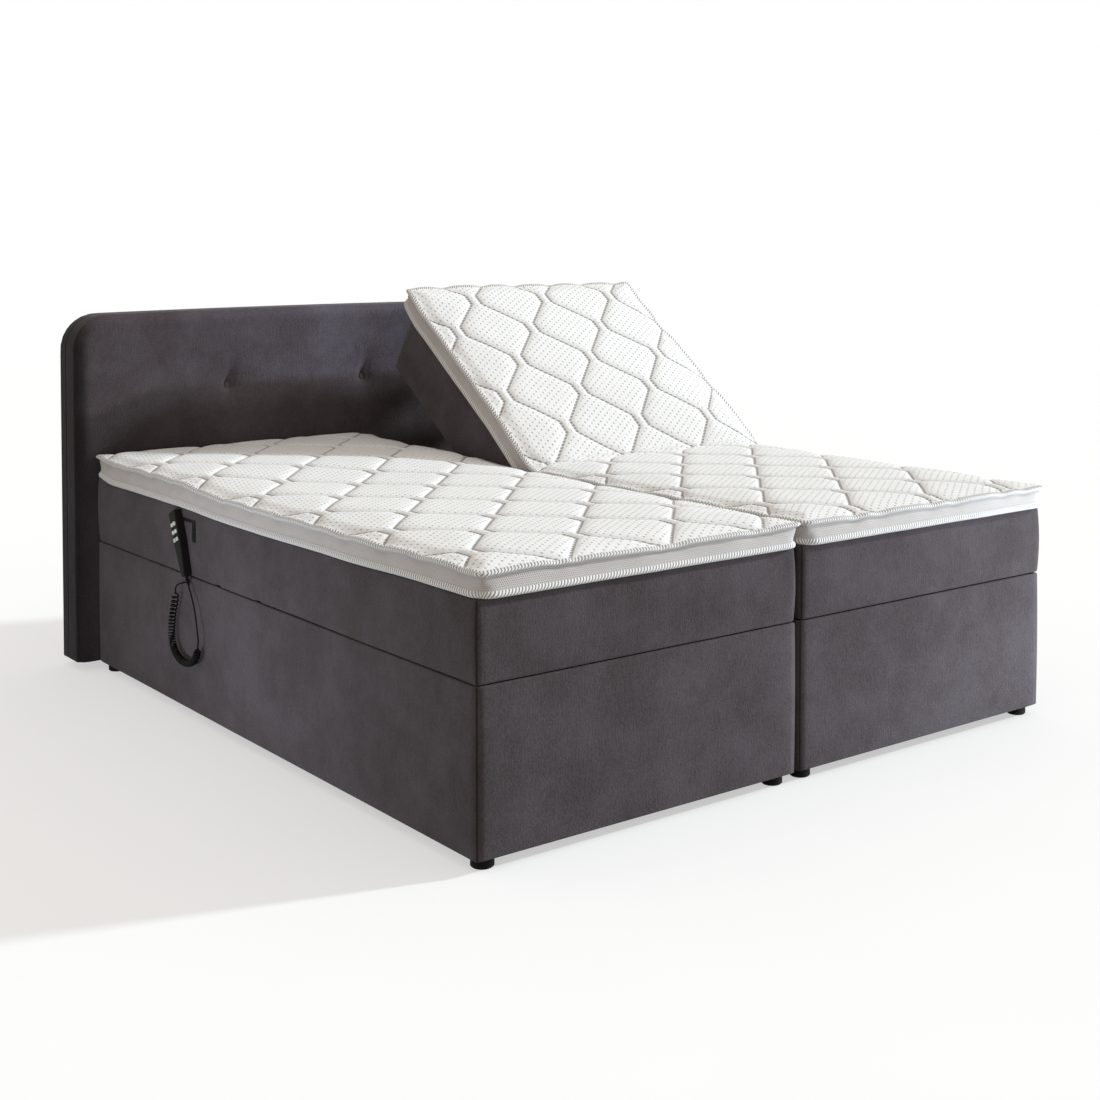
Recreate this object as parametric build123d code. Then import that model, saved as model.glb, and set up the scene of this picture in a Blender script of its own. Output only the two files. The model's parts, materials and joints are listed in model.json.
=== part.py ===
from build123d import *
import os
from math import cos, radians, sin, tan

# A double bed on two motorised boxes, in millimetres.
# X runs across the bed, Y from the foot end to the headboard, Z up from the floor.
# Each half is drawn about its own middle line with Y = 0 at the foot end, then moved to its place.

# Upholstered boxes, one to each half
BOX_WIDTH = 894
BOX_LENGTH = 2000
BOX_HEIGHT = 355
HALF_GAP = 12
COVER_THICK = 8
COVER_CORNER = 20
WALL_THICK = 16
DUST_COVER_THICK = 2
CORNER_BLOCK = 45
CORNER_BLOCK_HEIGHT = 120

# Feet
FOOT_HEIGHT = 25
FOOT_RADIUS = 25
FOOT_INSET = 40
FOOT_CHAMFER = 3

# Mattress and topper
MATTRESS_GAP = 4
MATTRESS_HEIGHT = 172
TOPPER_HEIGHT = 72
SOFT_END_GAP = 2
SOFT_GAP = 0.3
HEAD_FACE_LEAN = 35
THIGH_FACE_LEAN = 20

# Folding deck
HEAD_HINGE = 1156
THIGH_HINGE = 960
KNEE_HINGE = 580
PANEL_THICK = 12
PANEL_SIDE_GAP = 5
PANEL_END_GAP = 6
PANEL_HINGE_GAP = 22
ARM_WIDTH = 20
ARM_HEIGHT = 24
ARM_SETBACK = 74
CROSS_BAR_SETBACK = 60
KNEE_ARM_GAP = 4
KNEE_PIN_RADIUS = 8
STUB_RADIUS = 12.5
STUB_END_GAP = 1
RUNNING_CLEARANCE = 0.05
GLIDE_HEIGHT = 8
GLIDE_LENGTH = 30
REST_CLEARANCE = 0.3

# Rails that carry the deck and the drives
BATTEN = 30
BATTEN_CLEARANCE = 2.5
BEARING_THICK = 6
BEARING_RADIUS = 18
BEARING_ARM_GAP = 17
LEDGER_WIDTH = 40
SEAT_RAIL_WIDTH = 24
BEAM_WIDTH = 30
BEAM_HEIGHT = 80
BEAM_INSET = 70
BEAM_MARGIN = 10

# Drives: two in each half, one for the head and one for the legs
DRIVE_OFFSET = 90
CASE_WIDTH = 60
CASE_HEIGHT = 60
CASE_LENGTH = 370
CASE_STANDOFF = 33.5
ROD_RADIUS = 10
ROD_OVERLAP = 60
ROD_END_GAP = 10
CRANK_LENGTH = 90
CRANK_WIDTH = 24
CRANK_THICK = 8
CRANK_SIDE_GAP = 2
ROLLER_RADIUS = 8
ROLLER_PLAY = 1.5
ROLLER_FLOOR_GAP = 2
FORK_WIDTH = 24
FORK_WALL = 8
FORK_WALL_HEIGHT = 30
FORK_BASE_HEIGHT = 28
MOTOR_RADIUS = 28
MOTOR_LENGTH = 110
MOTOR_INSET = 40

# Travel of the deck, in degrees, and how far the topper slides up as the head rises
HEAD_TRAVEL = 60
THIGH_TRAVEL = 30
HEAD_REST = {"left": 0, "right": 35}
TOPPER_SLIDE_PER_RADIAN = 139

# Headboard
HEADBOARD_WIDTH = 1916
HEADBOARD_TOP = 1052
HEADBOARD_GAP = 2
HEADBOARD_CORNER = 105
PADDING_THICK = 84
PADDING_ROUND = 30
BOARD_THICK = 50
BUTTON_RADIUS = 13
BUTTON_THICK = 9
BUTTON_ROUND = 5.4
BUTTON_RECESS = 28
BUTTON_RECESS_GAP = 3
BUTTON_SPACING = 475
BUTTON_HEIGHT = 817
BOLT_RADIUS = 4
BOLT_CLEARANCE = 0.3
BOLT_HEAD_RADIUS = 8
BOLT_HEAD_HEIGHT = 6
BOLT_IN_BOARD = 24
BOLT_OFFSET = 300
BOLT_ABOVE_FOOT = 175

# Handset, hung on the left mattress
HANDSET_LENGTH = 178
HANDSET_WIDTH = 40
HANDSET_TIP_WIDTH = 20
HANDSET_TAPER_LENGTH = 88
HANDSET_THICK = 20
HANDSET_BACK_THICK = 8
HANDSET_WALL = 2
HANDSET_ROUND = 3
HANDSET_CORNER = 5
HANDSET_LEAN = 24
HANDSET_TIP_Y = 1350
HANDSET_TIP_ABOVE_BOX = 5
KEY_WIDTH = 12.5
KEY_HEIGHT = 10
KEY_ROUND = 3
KEY_PROUD = 2
KEY_CLEARANCE = 0.3
KEY_FLANGE = 0.9
KEY_FLANGE_THICK = 1.4
KEY_COLUMN_PITCH = 15.5
KEY_ROW_PITCH = 21
KEY_FIRST_ROW = 100
HOOK_THICK = 2
HOOK_BAR_HEIGHT = 8
HOOK_BAR_FROM_TIP = 158
HOOK_PLATE_WIDTH = 17
HOOK_PLATE_HEIGHT = 57
HOOK_REACH = 96
SCREW_RADIUS = 3
SCREW_HEIGHT = 1.5
SCREW_SPACING = 11.4

# Handset cord: a plain lead, a curly length and a plain lead
LEAD_RADIUS = 2.25
CURL_RADIUS = 10
GROMMET_Y = 1362
GROMMET_DROP = 14
GROMMET_RADIUS = 6
GROMMET_CLEARANCE = 0.1
GROMMET_FLANGE_RADIUS = 9
GROMMET_FLANGE_THICK = 2
EXIT_LEAD_BENDS = [
    (-911, 1362, 366),
    (-918.5, 1365.5, 364.8),
    (-923.5, 1371.5, 362),
    (-926.5, 1379, 357.5),
    (-927.5, 1385, 351.5),
    (-926.7, 1387.9, 345),
]
CURL_POINTS = [
    (-926, 1390, 338),
    (-924, 1396, 318),
    (-923, 1412, 288),
    (-922, 1424, 252),
    (-922, 1427, 214),
    (-922, 1412, 181),
    (-922, 1378, 161),
    (-922, 1336, 157),
    (-922, 1294, 168),
    (-922, 1269, 190),
    (-922, 1263, 213),
]
HANDSET_LEAD_BENDS = [
    (-922, 1258.5, 230.25),
    (-921.5, 1265, 251),
    (-920, 1275, 278),
    (-918, 1288, 305),
    (-916, 1306, 330),
    (-914, 1326, 350),
]
LEAD_END_RUN = 20
BEND_SHARE_OF_RUN = 0.45

# Levels and places worked out from the sizes above
BOX_TOP = FOOT_HEIGHT + BOX_HEIGHT
MATTRESS_BOTTOM = BOX_TOP + MATTRESS_GAP
MATTRESS_TOP = MATTRESS_BOTTOM + MATTRESS_HEIGHT
TOPPER_TOP = MATTRESS_TOP + TOPPER_HEIGHT
HANDSET_TIP_Z = BOX_TOP + HANDSET_TIP_ABOVE_BOX
DECK_BOTTOM = MATTRESS_BOTTOM - PANEL_THICK
HINGE_Z = DECK_BOTTOM - ARM_HEIGHT / 2
ARM_BOTTOM = DECK_BOTTOM - ARM_HEIGHT
HALF_WIDTH = BOX_WIDTH / 2
HALF_CENTRE = (HALF_GAP + BOX_WIDTH) / 2
BED_SIDE = HALF_CENTRE + HALF_WIDTH
INNER_SIDE = HALF_WIDTH - COVER_THICK - WALL_THICK
INNER_FOOT = COVER_THICK + WALL_THICK
INNER_HEAD = BOX_LENGTH - INNER_FOOT
BATTEN_SIDE = INNER_SIDE - BATTEN
BATTEN_TOP = HINGE_Z - STUB_RADIUS - BATTEN_CLEARANCE
BATTEN_BOTTOM = BATTEN_TOP - BATTEN
ARM_OUTER = BATTEN_SIDE - BEARING_THICK - BEARING_ARM_GAP
ARM_INNER = ARM_OUTER - ARM_WIDTH
CALF_ARM_OUTER = ARM_INNER - KNEE_ARM_GAP
CALF_ARM_INNER = CALF_ARM_OUTER - ARM_WIDTH
PANEL_SIDE = INNER_SIDE - PANEL_SIDE_GAP
PANEL_HEAD_END = INNER_HEAD - PANEL_END_GAP
PANEL_FOOT_END = INNER_FOOT + PANEL_END_GAP
HEAD_ARM_END = PANEL_HEAD_END - ARM_SETBACK
CALF_ARM_END = PANEL_FOOT_END

HEAD_SWING = HEAD_TRAVEL / 2
THIGH_SWING = THIGH_TRAVEL / 2
HEAD_PUSH_TRAVEL = 2 * CRANK_LENGTH * sin(radians(HEAD_SWING))
LEG_PUSH_TRAVEL = 2 * CRANK_LENGTH * sin(radians(THIGH_SWING))
FORK_HALF = ROLLER_RADIUS + ROLLER_PLAY + FORK_WALL
FORK_FLOOR = HINGE_Z - CRANK_LENGTH - ROLLER_RADIUS - ROLLER_FLOOR_GAP
ROD_Z = FORK_FLOOR - FORK_BASE_HEIGHT / 2
CASE_BOTTOM = ROD_Z - CASE_HEIGHT / 2
HEAD_FORK_FLAT = HEAD_HINGE - CRANK_LENGTH * sin(radians(HEAD_SWING))
LEG_FORK_FLAT = THIGH_HINGE + CRANK_LENGTH * sin(radians(THIGH_SWING))
HEAD_CASE_FRONT = HEAD_FORK_FLAT - FORK_HALF - CASE_STANDOFF
LEG_CASE_FRONT = LEG_FORK_FLAT + FORK_HALF + CASE_STANDOFF

BED_LENGTH = BOX_LENGTH + HEADBOARD_GAP + PADDING_THICK + BOARD_THICK
FOOT_END = -BED_LENGTH / 2
PADDING_FRONT = BOX_LENGTH + HEADBOARD_GAP
BOARD_FRONT = PADDING_FRONT + PADDING_THICK
BOLT_Z = FOOT_HEIGHT + BOLT_ABOVE_FOOT
SIDES = {"left": -1, "right": 1}


def block(x0, x1, y0, y1, z0, z1):
    """A box between two opposite corners."""
    return Pos((x0 + x1) / 2, (y0 + y1) / 2, (z0 + z1) / 2) * Box(x1 - x0, y1 - y0, z1 - z0)


def rod_x(x0, x1, y, z, radius):
    """A round bar along X."""
    return Pos((x0 + x1) / 2, y, z) * Rot(0, 90, 0) * Cylinder(radius, x1 - x0)


def rod_y(x, y0, y1, z, radius):
    """A round bar along Y."""
    return Pos(x, (y0 + y1) / 2, z) * Rot(90, 0, 0) * Cylinder(radius, y1 - y0)


def side_prism(points, x0, x1):
    """A side outline of (Y, Z) points, run across from x0 to x1."""
    return Pos(x0, 0, 0) * extrude(Plane.YZ * Polygon(*points), amount=x1 - x0)


def both_ways(make, inner, outer):
    """The same bar on the left and on the right of a half's middle line."""
    return [make(-outer, -inner), make(inner, outer)]


def place(side, shapes):
    """Move shapes from a half's own middle line and foot end to their place in the bed."""
    return [Pos(SIDES[side] * HALF_CENTRE, FOOT_END, 0) * shape for shape in shapes]


def place_head(side, shapes):
    """Place shapes of the head section, turned up by the angle at which that half rests."""
    hinge = Axis((0, HEAD_HINGE, HINGE_Z), (1, 0, 0))
    return place(side, [shape.rotate(hinge, HEAD_REST[side]) for shape in shapes])


def shift(shapes, x=0, y=0, z=0):
    """Move a list of shapes."""
    return [Pos(x, y, z) * shape for shape in shapes]


def save(name, shapes):
    """Write one node's solids."""
    export_step(Compound(children=list(shapes)), f"parts/{name}.step")


# The box of one half
def bolt_places():
    """Where the headboard bolts stand, across a half."""
    return [-BOLT_OFFSET, BOLT_OFFSET]


def bolt_holes(y0, y1):
    """Holes for one half's headboard bolts between two distances from the foot end."""
    return [rod_y(x, y0, y1, BOLT_Z, BOLT_RADIUS + BOLT_CLEARANCE) for x in bolt_places()]


def grommet_hole():
    """The hole in the left box's outer side for the cord's grommet."""
    radius = GROMMET_RADIUS + GROMMET_CLEARANCE
    return rod_x(-HALF_WIDTH, -INNER_SIDE, GROMMET_Y, BOX_TOP - GROMMET_DROP, radius)


def box_panels(side):
    """Side walls, end walls and corner blocks."""
    bottom = FOOT_HEIGHT + DUST_COVER_THICK
    outer = HALF_WIDTH - COVER_THICK
    walls = both_ways(
        lambda x0, x1: block(x0, x1, COVER_THICK, BOX_LENGTH - COVER_THICK, bottom, BOX_TOP),
        INNER_SIDE,
        outer,
    )
    if side == "left":
        walls[0] -= grommet_hole()
    foot_wall = block(-INNER_SIDE, INNER_SIDE, COVER_THICK, INNER_FOOT, bottom, BOX_TOP)
    head_wall = block(-INNER_SIDE, INNER_SIDE, INNER_HEAD, BOX_LENGTH - COVER_THICK, bottom, BOX_TOP)
    for hole in bolt_holes(INNER_HEAD, BOX_LENGTH):
        head_wall -= hole
    blocks = []
    for y0 in (INNER_FOOT, INNER_HEAD - CORNER_BLOCK):
        blocks += both_ways(
            lambda x0, x1: block(x0, x1, y0, y0 + CORNER_BLOCK, bottom, bottom + CORNER_BLOCK_HEIGHT),
            INNER_SIDE - CORNER_BLOCK,
            INNER_SIDE,
        )
    return walls + [foot_wall, head_wall] + blocks


def box_cover(side):
    """Padded fabric sleeve round the four walls."""
    middle = Pos(0, BOX_LENGTH / 2, FOOT_HEIGHT + BOX_HEIGHT / 2)
    sleeve = middle * Box(BOX_WIDTH, BOX_LENGTH, BOX_HEIGHT)
    sleeve = fillet(sleeve.edges().filter_by(Axis.Z), COVER_CORNER)
    sleeve -= middle * Box(BOX_WIDTH - 2 * COVER_THICK, BOX_LENGTH - 2 * COVER_THICK, BOX_HEIGHT)
    for hole in bolt_holes(BOX_LENGTH - COVER_THICK, BOX_LENGTH):
        sleeve -= hole
    if side == "left":
        sleeve -= grommet_hole()
    return [sleeve]


def dust_cover():
    """Thin sheet that closes the box from below."""
    side = HALF_WIDTH - COVER_THICK
    end = BOX_LENGTH - COVER_THICK
    return [block(-side, side, COVER_THICK, end, FOOT_HEIGHT, FOOT_HEIGHT + DUST_COVER_THICK)]


def feet():
    """Four short round feet."""
    foot = Pos(0, 0, FOOT_HEIGHT / 2) * Cylinder(FOOT_RADIUS, FOOT_HEIGHT)
    foot = chamfer(foot.edges().sort_by(Axis.Z)[0], FOOT_CHAMFER)
    x = HALF_WIDTH - FOOT_INSET
    return [Pos(i, j, 0) * foot for i in (-x, x) for j in (FOOT_INSET, BOX_LENGTH - FOOT_INSET)]


# Rails of one half
def bearing_plates(hinge):
    """A pair of plates on the battens, bored for a hinge's stubs."""
    outline = Plane.YZ * (
        Pos(hinge, (BATTEN_BOTTOM + HINGE_Z) / 2) * Rectangle(2 * BEARING_RADIUS, HINGE_Z - BATTEN_BOTTOM)
        + Pos(hinge, HINGE_Z) * Circle(BEARING_RADIUS)
        - Pos(hinge, HINGE_Z) * Circle(STUB_RADIUS + RUNNING_CLEARANCE)
    )
    plate = extrude(outline, amount=BEARING_THICK)
    return [Pos(-BATTEN_SIDE, 0, 0) * plate, Pos(BATTEN_SIDE - BEARING_THICK, 0, 0) * plate]


def deck_rails():
    """Battens, bearing plates, ledgers, the seat rail and the beams under the drives."""
    battens = both_ways(
        lambda x0, x1: block(x0, x1, INNER_FOOT, INNER_HEAD, BATTEN_BOTTOM, BATTEN_TOP),
        BATTEN_SIDE,
        INNER_SIDE,
    )
    plates = bearing_plates(HEAD_HINGE) + bearing_plates(THIGH_HINGE)
    ledgers = []
    head_ledger = (HEAD_ARM_END - LEDGER_WIDTH / 2, 0)
    foot_ledger = (CALF_ARM_END + GLIDE_LENGTH / 2, GLIDE_HEIGHT)
    for middle, drop in (head_ledger, foot_ledger):
        top = ARM_BOTTOM - drop - REST_CLEARANCE
        y0 = max(middle - LEDGER_WIDTH / 2, INNER_FOOT)
        ledgers.append(block(-BATTEN_SIDE, BATTEN_SIDE, y0, y0 + LEDGER_WIDTH, BATTEN_BOTTOM, top))
    seat_middle = (THIGH_HINGE + HEAD_HINGE) / 2
    seat_rail = block(
        -PANEL_SIDE,
        PANEL_SIDE,
        seat_middle - SEAT_RAIL_WIDTH / 2,
        seat_middle + SEAT_RAIL_WIDTH / 2,
        BATTEN_TOP,
        DECK_BOTTOM,
    )
    beam_limits = [
        (HEAD_CASE_FRONT - CASE_LENGTH + BEAM_INSET - BEAM_WIDTH / 2, BEAM_WIDTH),
        (LEG_CASE_FRONT + CASE_LENGTH - BEAM_INSET - BEAM_WIDTH / 2, BEAM_WIDTH),
        (
            min(HEAD_CASE_FRONT, LEG_CASE_FRONT) - BEAM_MARGIN,
            abs(HEAD_CASE_FRONT - LEG_CASE_FRONT) + 2 * BEAM_MARGIN,
        ),
    ]
    beams = [
        block(-INNER_SIDE, INNER_SIDE, y0, y0 + width, CASE_BOTTOM - BEAM_HEIGHT, CASE_BOTTOM)
        for y0, width in beam_limits
    ]
    return battens + plates + ledgers + [seat_rail] + beams


def seat_panel():
    """The short fixed board between the two hinges."""
    y0 = THIGH_HINGE + PANEL_HINGE_GAP
    y1 = HEAD_HINGE - PANEL_HINGE_GAP
    return [block(-PANEL_SIDE, PANEL_SIDE, y0, y1, DECK_BOTTOM, MATTRESS_BOTTOM)]


# Folding deck of one half, drawn flat
def arms(inner, outer, y0, y1):
    """A pair of deck arms."""
    return both_ways(lambda x0, x1: block(x0, x1, y0, y1, ARM_BOTTOM, DECK_BOTTOM), inner, outer)


def cross_bar(half_width, middle):
    """A square bar between a pair of arms."""
    half = ARM_HEIGHT / 2
    return block(-half_width, half_width, middle - half, middle + half, ARM_BOTTOM, DECK_BOTTOM)


def hinge_stubs(hinge):
    """Round stubs on the arms, which turn in the bearing plates."""
    return both_ways(
        lambda x0, x1: rod_x(x0, x1, hinge, HINGE_Z, STUB_RADIUS), ARM_OUTER, BATTEN_SIDE - STUB_END_GAP
    )


def crank(hinge, swing, offset):
    """A plate below the hinge bar with a roller on its side, swung by an angle from straight down."""
    roller_y = hinge + CRANK_LENGTH * sin(radians(swing))
    roller_z = HINGE_Z - CRANK_LENGTH * cos(radians(swing))
    slot = Rot(0, 0, swing - 90) * Pos(CRANK_LENGTH / 2, 0) * SlotCenterToCenter(CRANK_LENGTH, CRANK_WIDTH)
    plate = extrude(Plane.YZ * (Pos(hinge, HINGE_Z) * slot), amount=CRANK_THICK)
    bar_space = block(0, CRANK_THICK, hinge - CRANK_LENGTH, hinge + CRANK_LENGTH, ARM_BOTTOM, MATTRESS_TOP)
    plate_x = offset + FORK_WIDTH / 2 + CRANK_SIDE_GAP
    roller = rod_x(offset - FORK_WIDTH / 2 + CRANK_SIDE_GAP, plate_x, roller_y, roller_z, ROLLER_RADIUS)
    return [Pos(plate_x, 0, 0) * (plate - bar_space), roller]


def head_frame():
    """Steel frame of the head section."""
    half = ARM_HEIGHT / 2
    return (
        arms(ARM_INNER, ARM_OUTER, HEAD_HINGE - half, HEAD_ARM_END)
        + [cross_bar(ARM_INNER, HEAD_HINGE), cross_bar(ARM_INNER, HEAD_ARM_END - half)]
        + hinge_stubs(HEAD_HINGE)
        + crank(HEAD_HINGE, -HEAD_SWING, DRIVE_OFFSET)
    )


def thigh_frame():
    """Steel frame of the thigh section, with the knee pins."""
    half = ARM_HEIGHT / 2
    pins = both_ways(
        lambda x0, x1: rod_x(x0, x1, KNEE_HINGE, HINGE_Z, KNEE_PIN_RADIUS), CALF_ARM_INNER, ARM_INNER
    )
    return (
        arms(ARM_INNER, ARM_OUTER, KNEE_HINGE - half, THIGH_HINGE + half)
        + [cross_bar(ARM_INNER, THIGH_HINGE), cross_bar(ARM_INNER, KNEE_HINGE + CROSS_BAR_SETBACK)]
        + hinge_stubs(THIGH_HINGE)
        + pins
        + crank(THIGH_HINGE, THIGH_SWING, -DRIVE_OFFSET)
    )


def calf_frame():
    """Steel frame of the calf section, bored for the knee pins, with glides at its foot end."""
    half = ARM_HEIGHT / 2
    bore = KNEE_PIN_RADIUS + RUNNING_CLEARANCE
    bars = []
    for bar in arms(CALF_ARM_INNER, CALF_ARM_OUTER, CALF_ARM_END, KNEE_HINGE + half):
        bars.append(bar - rod_x(-ARM_OUTER, ARM_OUTER, KNEE_HINGE, HINGE_Z, bore))
    glides = both_ways(
        lambda x0, x1: block(
            x0, x1, CALF_ARM_END, CALF_ARM_END + GLIDE_LENGTH, ARM_BOTTOM - GLIDE_HEIGHT, ARM_BOTTOM
        ),
        CALF_ARM_INNER,
        CALF_ARM_OUTER,
    )
    ties = [
        cross_bar(CALF_ARM_INNER, CALF_ARM_END + CROSS_BAR_SETBACK),
        cross_bar(CALF_ARM_INNER, KNEE_HINGE - CROSS_BAR_SETBACK),
    ]
    return bars + ties + glides


def deck_panel(y0, y1):
    """A deck board that lies on its frame's arms."""
    return [block(-PANEL_SIDE, PANEL_SIDE, y0, y1, DECK_BOTTOM, MATTRESS_BOTTOM)]


# Drives of one half
def drive_case(front, towards_head, offset):
    """A drive's housing, bored for its push rod from the front."""
    depth = CASE_STANDOFF + HEAD_PUSH_TRAVEL + ROD_OVERLAP + ROD_END_GAP
    way = 1 if towards_head else -1
    y0, y1 = sorted((front, front - way * CASE_LENGTH))
    case = block(
        offset - CASE_WIDTH / 2, offset + CASE_WIDTH / 2, y0, y1, CASE_BOTTOM, CASE_BOTTOM + CASE_HEIGHT
    )
    bore0, bore1 = sorted((front, front - way * depth))
    return case - rod_y(offset, bore0, bore1, ROD_Z, ROD_RADIUS + RUNNING_CLEARANCE)


def drive_motor(front, towards_head, offset):
    """A round motor on the outer side of a drive's housing."""
    way = 1 if towards_head else -1
    y = front - way * (CASE_LENGTH - MOTOR_INSET)
    face = abs(offset) + CASE_WIDTH / 2
    x0, x1 = sorted((face, face + MOTOR_LENGTH)) if offset > 0 else (-face - MOTOR_LENGTH, -face)
    return rod_x(x0, x1, y, ROD_Z, MOTOR_RADIUS)


def push_block(middle, towards_head, offset, travel):
    """A fork that pushes a crank's roller, and the rod behind it."""
    way = 1 if towards_head else -1
    x0 = offset - FORK_WIDTH / 2
    x1 = offset + FORK_WIDTH / 2
    inner = FORK_HALF - FORK_WALL
    base = block(x0, x1, middle - FORK_HALF, middle + FORK_HALF, FORK_FLOOR - FORK_BASE_HEIGHT, FORK_FLOOR)
    walls = [
        block(x0, x1, middle + y, middle + y + FORK_WALL, FORK_FLOOR, FORK_FLOOR + FORK_WALL_HEIGHT)
        for y in (-FORK_HALF, inner)
    ]
    back = middle - way * FORK_HALF
    rod_y0, rod_y1 = sorted((back, back - way * (CASE_STANDOFF + travel + ROD_OVERLAP)))
    return [base] + walls + [rod_y(offset, rod_y0, rod_y1, ROD_Z, ROD_RADIUS)]


# Mattress and topper of one half
def head_face(z):
    """How far from the foot end the head section's leaning front face is, at a height."""
    return HEAD_HINGE + (z - HINGE_Z) * tan(radians(HEAD_FACE_LEAN))


def thigh_face(z):
    """How far from the foot end the thigh section's leaning back face is, at a height."""
    return THIGH_HINGE - (z - HINGE_Z) * tan(radians(THIGH_FACE_LEAN))


def fold_line(z, angle):
    """Where a flat layer at a height starts to rise, with the head section up by an angle."""
    return HEAD_HINGE - (z - HINGE_Z) * tan(radians(angle / 2))


def turned(y, z, angle):
    """A point of the flat head section once it is raised."""
    a = radians(angle)
    along = y - HEAD_HINGE
    up = z - HINGE_Z
    return HEAD_HINGE + along * cos(a) - up * sin(a), HINGE_Z + along * sin(a) + up * cos(a)


def soft_head(bottom, top):
    """The part of a soft layer that lies on the head section, drawn flat."""
    end = BOX_LENGTH - SOFT_END_GAP
    points = [
        (head_face(bottom) + SOFT_GAP, bottom),
        (end, bottom),
        (end, top),
        (head_face(top) + SOFT_GAP, top),
    ]
    return side_prism(points, -HALF_WIDTH, HALF_WIDTH)


def soft_middle(bottom, top, angle, slide):
    """The part of a soft layer that bends between the thigh and head sections, as it rests."""
    step = (slide * cos(radians(angle)), slide * sin(radians(angle)))
    low = turned(head_face(bottom), bottom, angle)
    high = turned(head_face(top), top, angle)
    points = [(thigh_face(bottom), bottom)]
    if slide:
        points.append((fold_line(bottom, angle), bottom))
    points += [(low[0] + step[0], low[1] + step[1]), (high[0] + step[0], high[1] + step[1])]
    if angle:
        points.append((fold_line(top, angle), top))
    points.append((thigh_face(top), top))
    return side_prism(points, -HALF_WIDTH, HALF_WIDTH)


def soft_thigh(bottom, top):
    """The part of a soft layer that lies on the thigh section."""
    knee = KNEE_HINGE + SOFT_GAP
    points = [
        (knee, bottom),
        (thigh_face(bottom) - SOFT_GAP, bottom),
        (thigh_face(top) - SOFT_GAP, top),
        (knee, top),
    ]
    return side_prism(points, -HALF_WIDTH, HALF_WIDTH)


def soft_calf(bottom, top):
    """The part of a soft layer that lies on the calf section."""
    return block(-HALF_WIDTH, HALF_WIDTH, SOFT_END_GAP, KNEE_HINGE, bottom, top)


# Headboard
def headboard_slab(y0, y1):
    """The headboard's outline between two distances from the foot end."""
    half = HEADBOARD_WIDTH / 2
    slab = block(-half, half, y0, y1, FOOT_HEIGHT, HEADBOARD_TOP)
    corners = slab.edges().filter_by(Axis.Y).sort_by(Axis.Z)[-2:]
    return fillet(corners, HEADBOARD_CORNER)


def headboard_button_places():
    """Where the covered buttons stand, across the headboard."""
    return [-BUTTON_SPACING, 0, BUTTON_SPACING]


def headboard_bolt_places():
    """Where the bolts stand, across the headboard."""
    return [way * HALF_CENTRE + x for way in SIDES.values() for x in bolt_places()]


def headboard_padding():
    """Upholstered front of the headboard, with a recess for each button."""
    padding = headboard_slab(PADDING_FRONT, BOARD_FRONT)
    front = padding.faces().sort_by(Axis.Y)[0]
    padding = fillet(front.edges(), PADDING_ROUND)
    for x in headboard_button_places():
        recess = BUTTON_RADIUS + BUTTON_RECESS_GAP
        padding -= rod_y(x, PADDING_FRONT, PADDING_FRONT + BUTTON_RECESS, BUTTON_HEIGHT, recess)
    for x in headboard_bolt_places():
        padding -= rod_y(x, PADDING_FRONT, BOARD_FRONT, BOLT_Z, BOLT_RADIUS + BOLT_CLEARANCE)
    return padding


def headboard_board():
    """Wooden back of the headboard, with blind holes for the bolts."""
    board = headboard_slab(BOARD_FRONT, BOARD_FRONT + BOARD_THICK)
    for x in headboard_bolt_places():
        end = BOARD_FRONT + BOLT_IN_BOARD + BOLT_CLEARANCE
        board -= rod_y(x, BOARD_FRONT, end, BOLT_Z, BOLT_RADIUS + BOLT_CLEARANCE)
    return board


def headboard_buttons():
    """Covered buttons on the floors of their recesses."""
    floor = PADDING_FRONT + BUTTON_RECESS
    buttons = []
    for x in headboard_button_places():
        button = rod_y(x, floor - BUTTON_THICK, floor, BUTTON_HEIGHT, BUTTON_RADIUS)
        buttons.append(fillet(button.edges().sort_by(Axis.Y)[0], BUTTON_ROUND))
    return buttons


def headboard_bolts():
    """Bolts through the boxes' head walls into the headboard."""
    bolts = []
    for x in headboard_bolt_places():
        head = rod_y(x, INNER_HEAD - BOLT_HEAD_HEIGHT, INNER_HEAD, BOLT_Z, BOLT_HEAD_RADIUS)
        shank = rod_y(x, INNER_HEAD - BOLT_HEAD_HEIGHT, BOARD_FRONT + BOLT_IN_BOARD, BOLT_Z, BOLT_RADIUS)
        bolts.append(head + shank)
    return bolts


# Handset, drawn flat with its tip at the origin, its back on Z = 0 and its length along Y
HANDSET_BACK_X = -(BED_SIDE + SOFT_GAP + HOOK_THICK)
LEAN = radians(HANDSET_LEAN)
HANDSET_PLANE = Plane(
    origin=(HANDSET_BACK_X, HANDSET_TIP_Y, HANDSET_TIP_Z),
    x_dir=(0, -cos(LEAN), sin(LEAN)),
    z_dir=(-1, 0, 0),
)


def hang(shapes):
    """Move handset pieces to the side of the left mattress."""
    return [Pos(0, FOOT_END, 0) * HANDSET_PLANE.location * shape for shape in shapes]


def handset_outline(inset=0):
    """The handset's tapered outline, or one inside it."""
    wide = HANDSET_WIDTH / 2
    tip = HANDSET_TIP_WIDTH / 2
    points = [
        (-tip, 0),
        (tip, 0),
        (wide, HANDSET_TAPER_LENGTH),
        (wide, HANDSET_LENGTH),
        (-wide, HANDSET_LENGTH),
        (-wide, HANDSET_TAPER_LENGTH),
    ]
    outline = Polygon(*points)
    outline = fillet(outline.vertices(), HANDSET_CORNER)
    return offset(outline, amount=-inset) if inset else outline


def key_places():
    """The middles of the six keys, row by row from the top."""
    half = KEY_COLUMN_PITCH / 2
    rows = [KEY_FIRST_ROW + row * KEY_ROW_PITCH for row in (2, 1, 0)]
    return [(x, y) for y in rows for x in (-half, half)]


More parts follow.
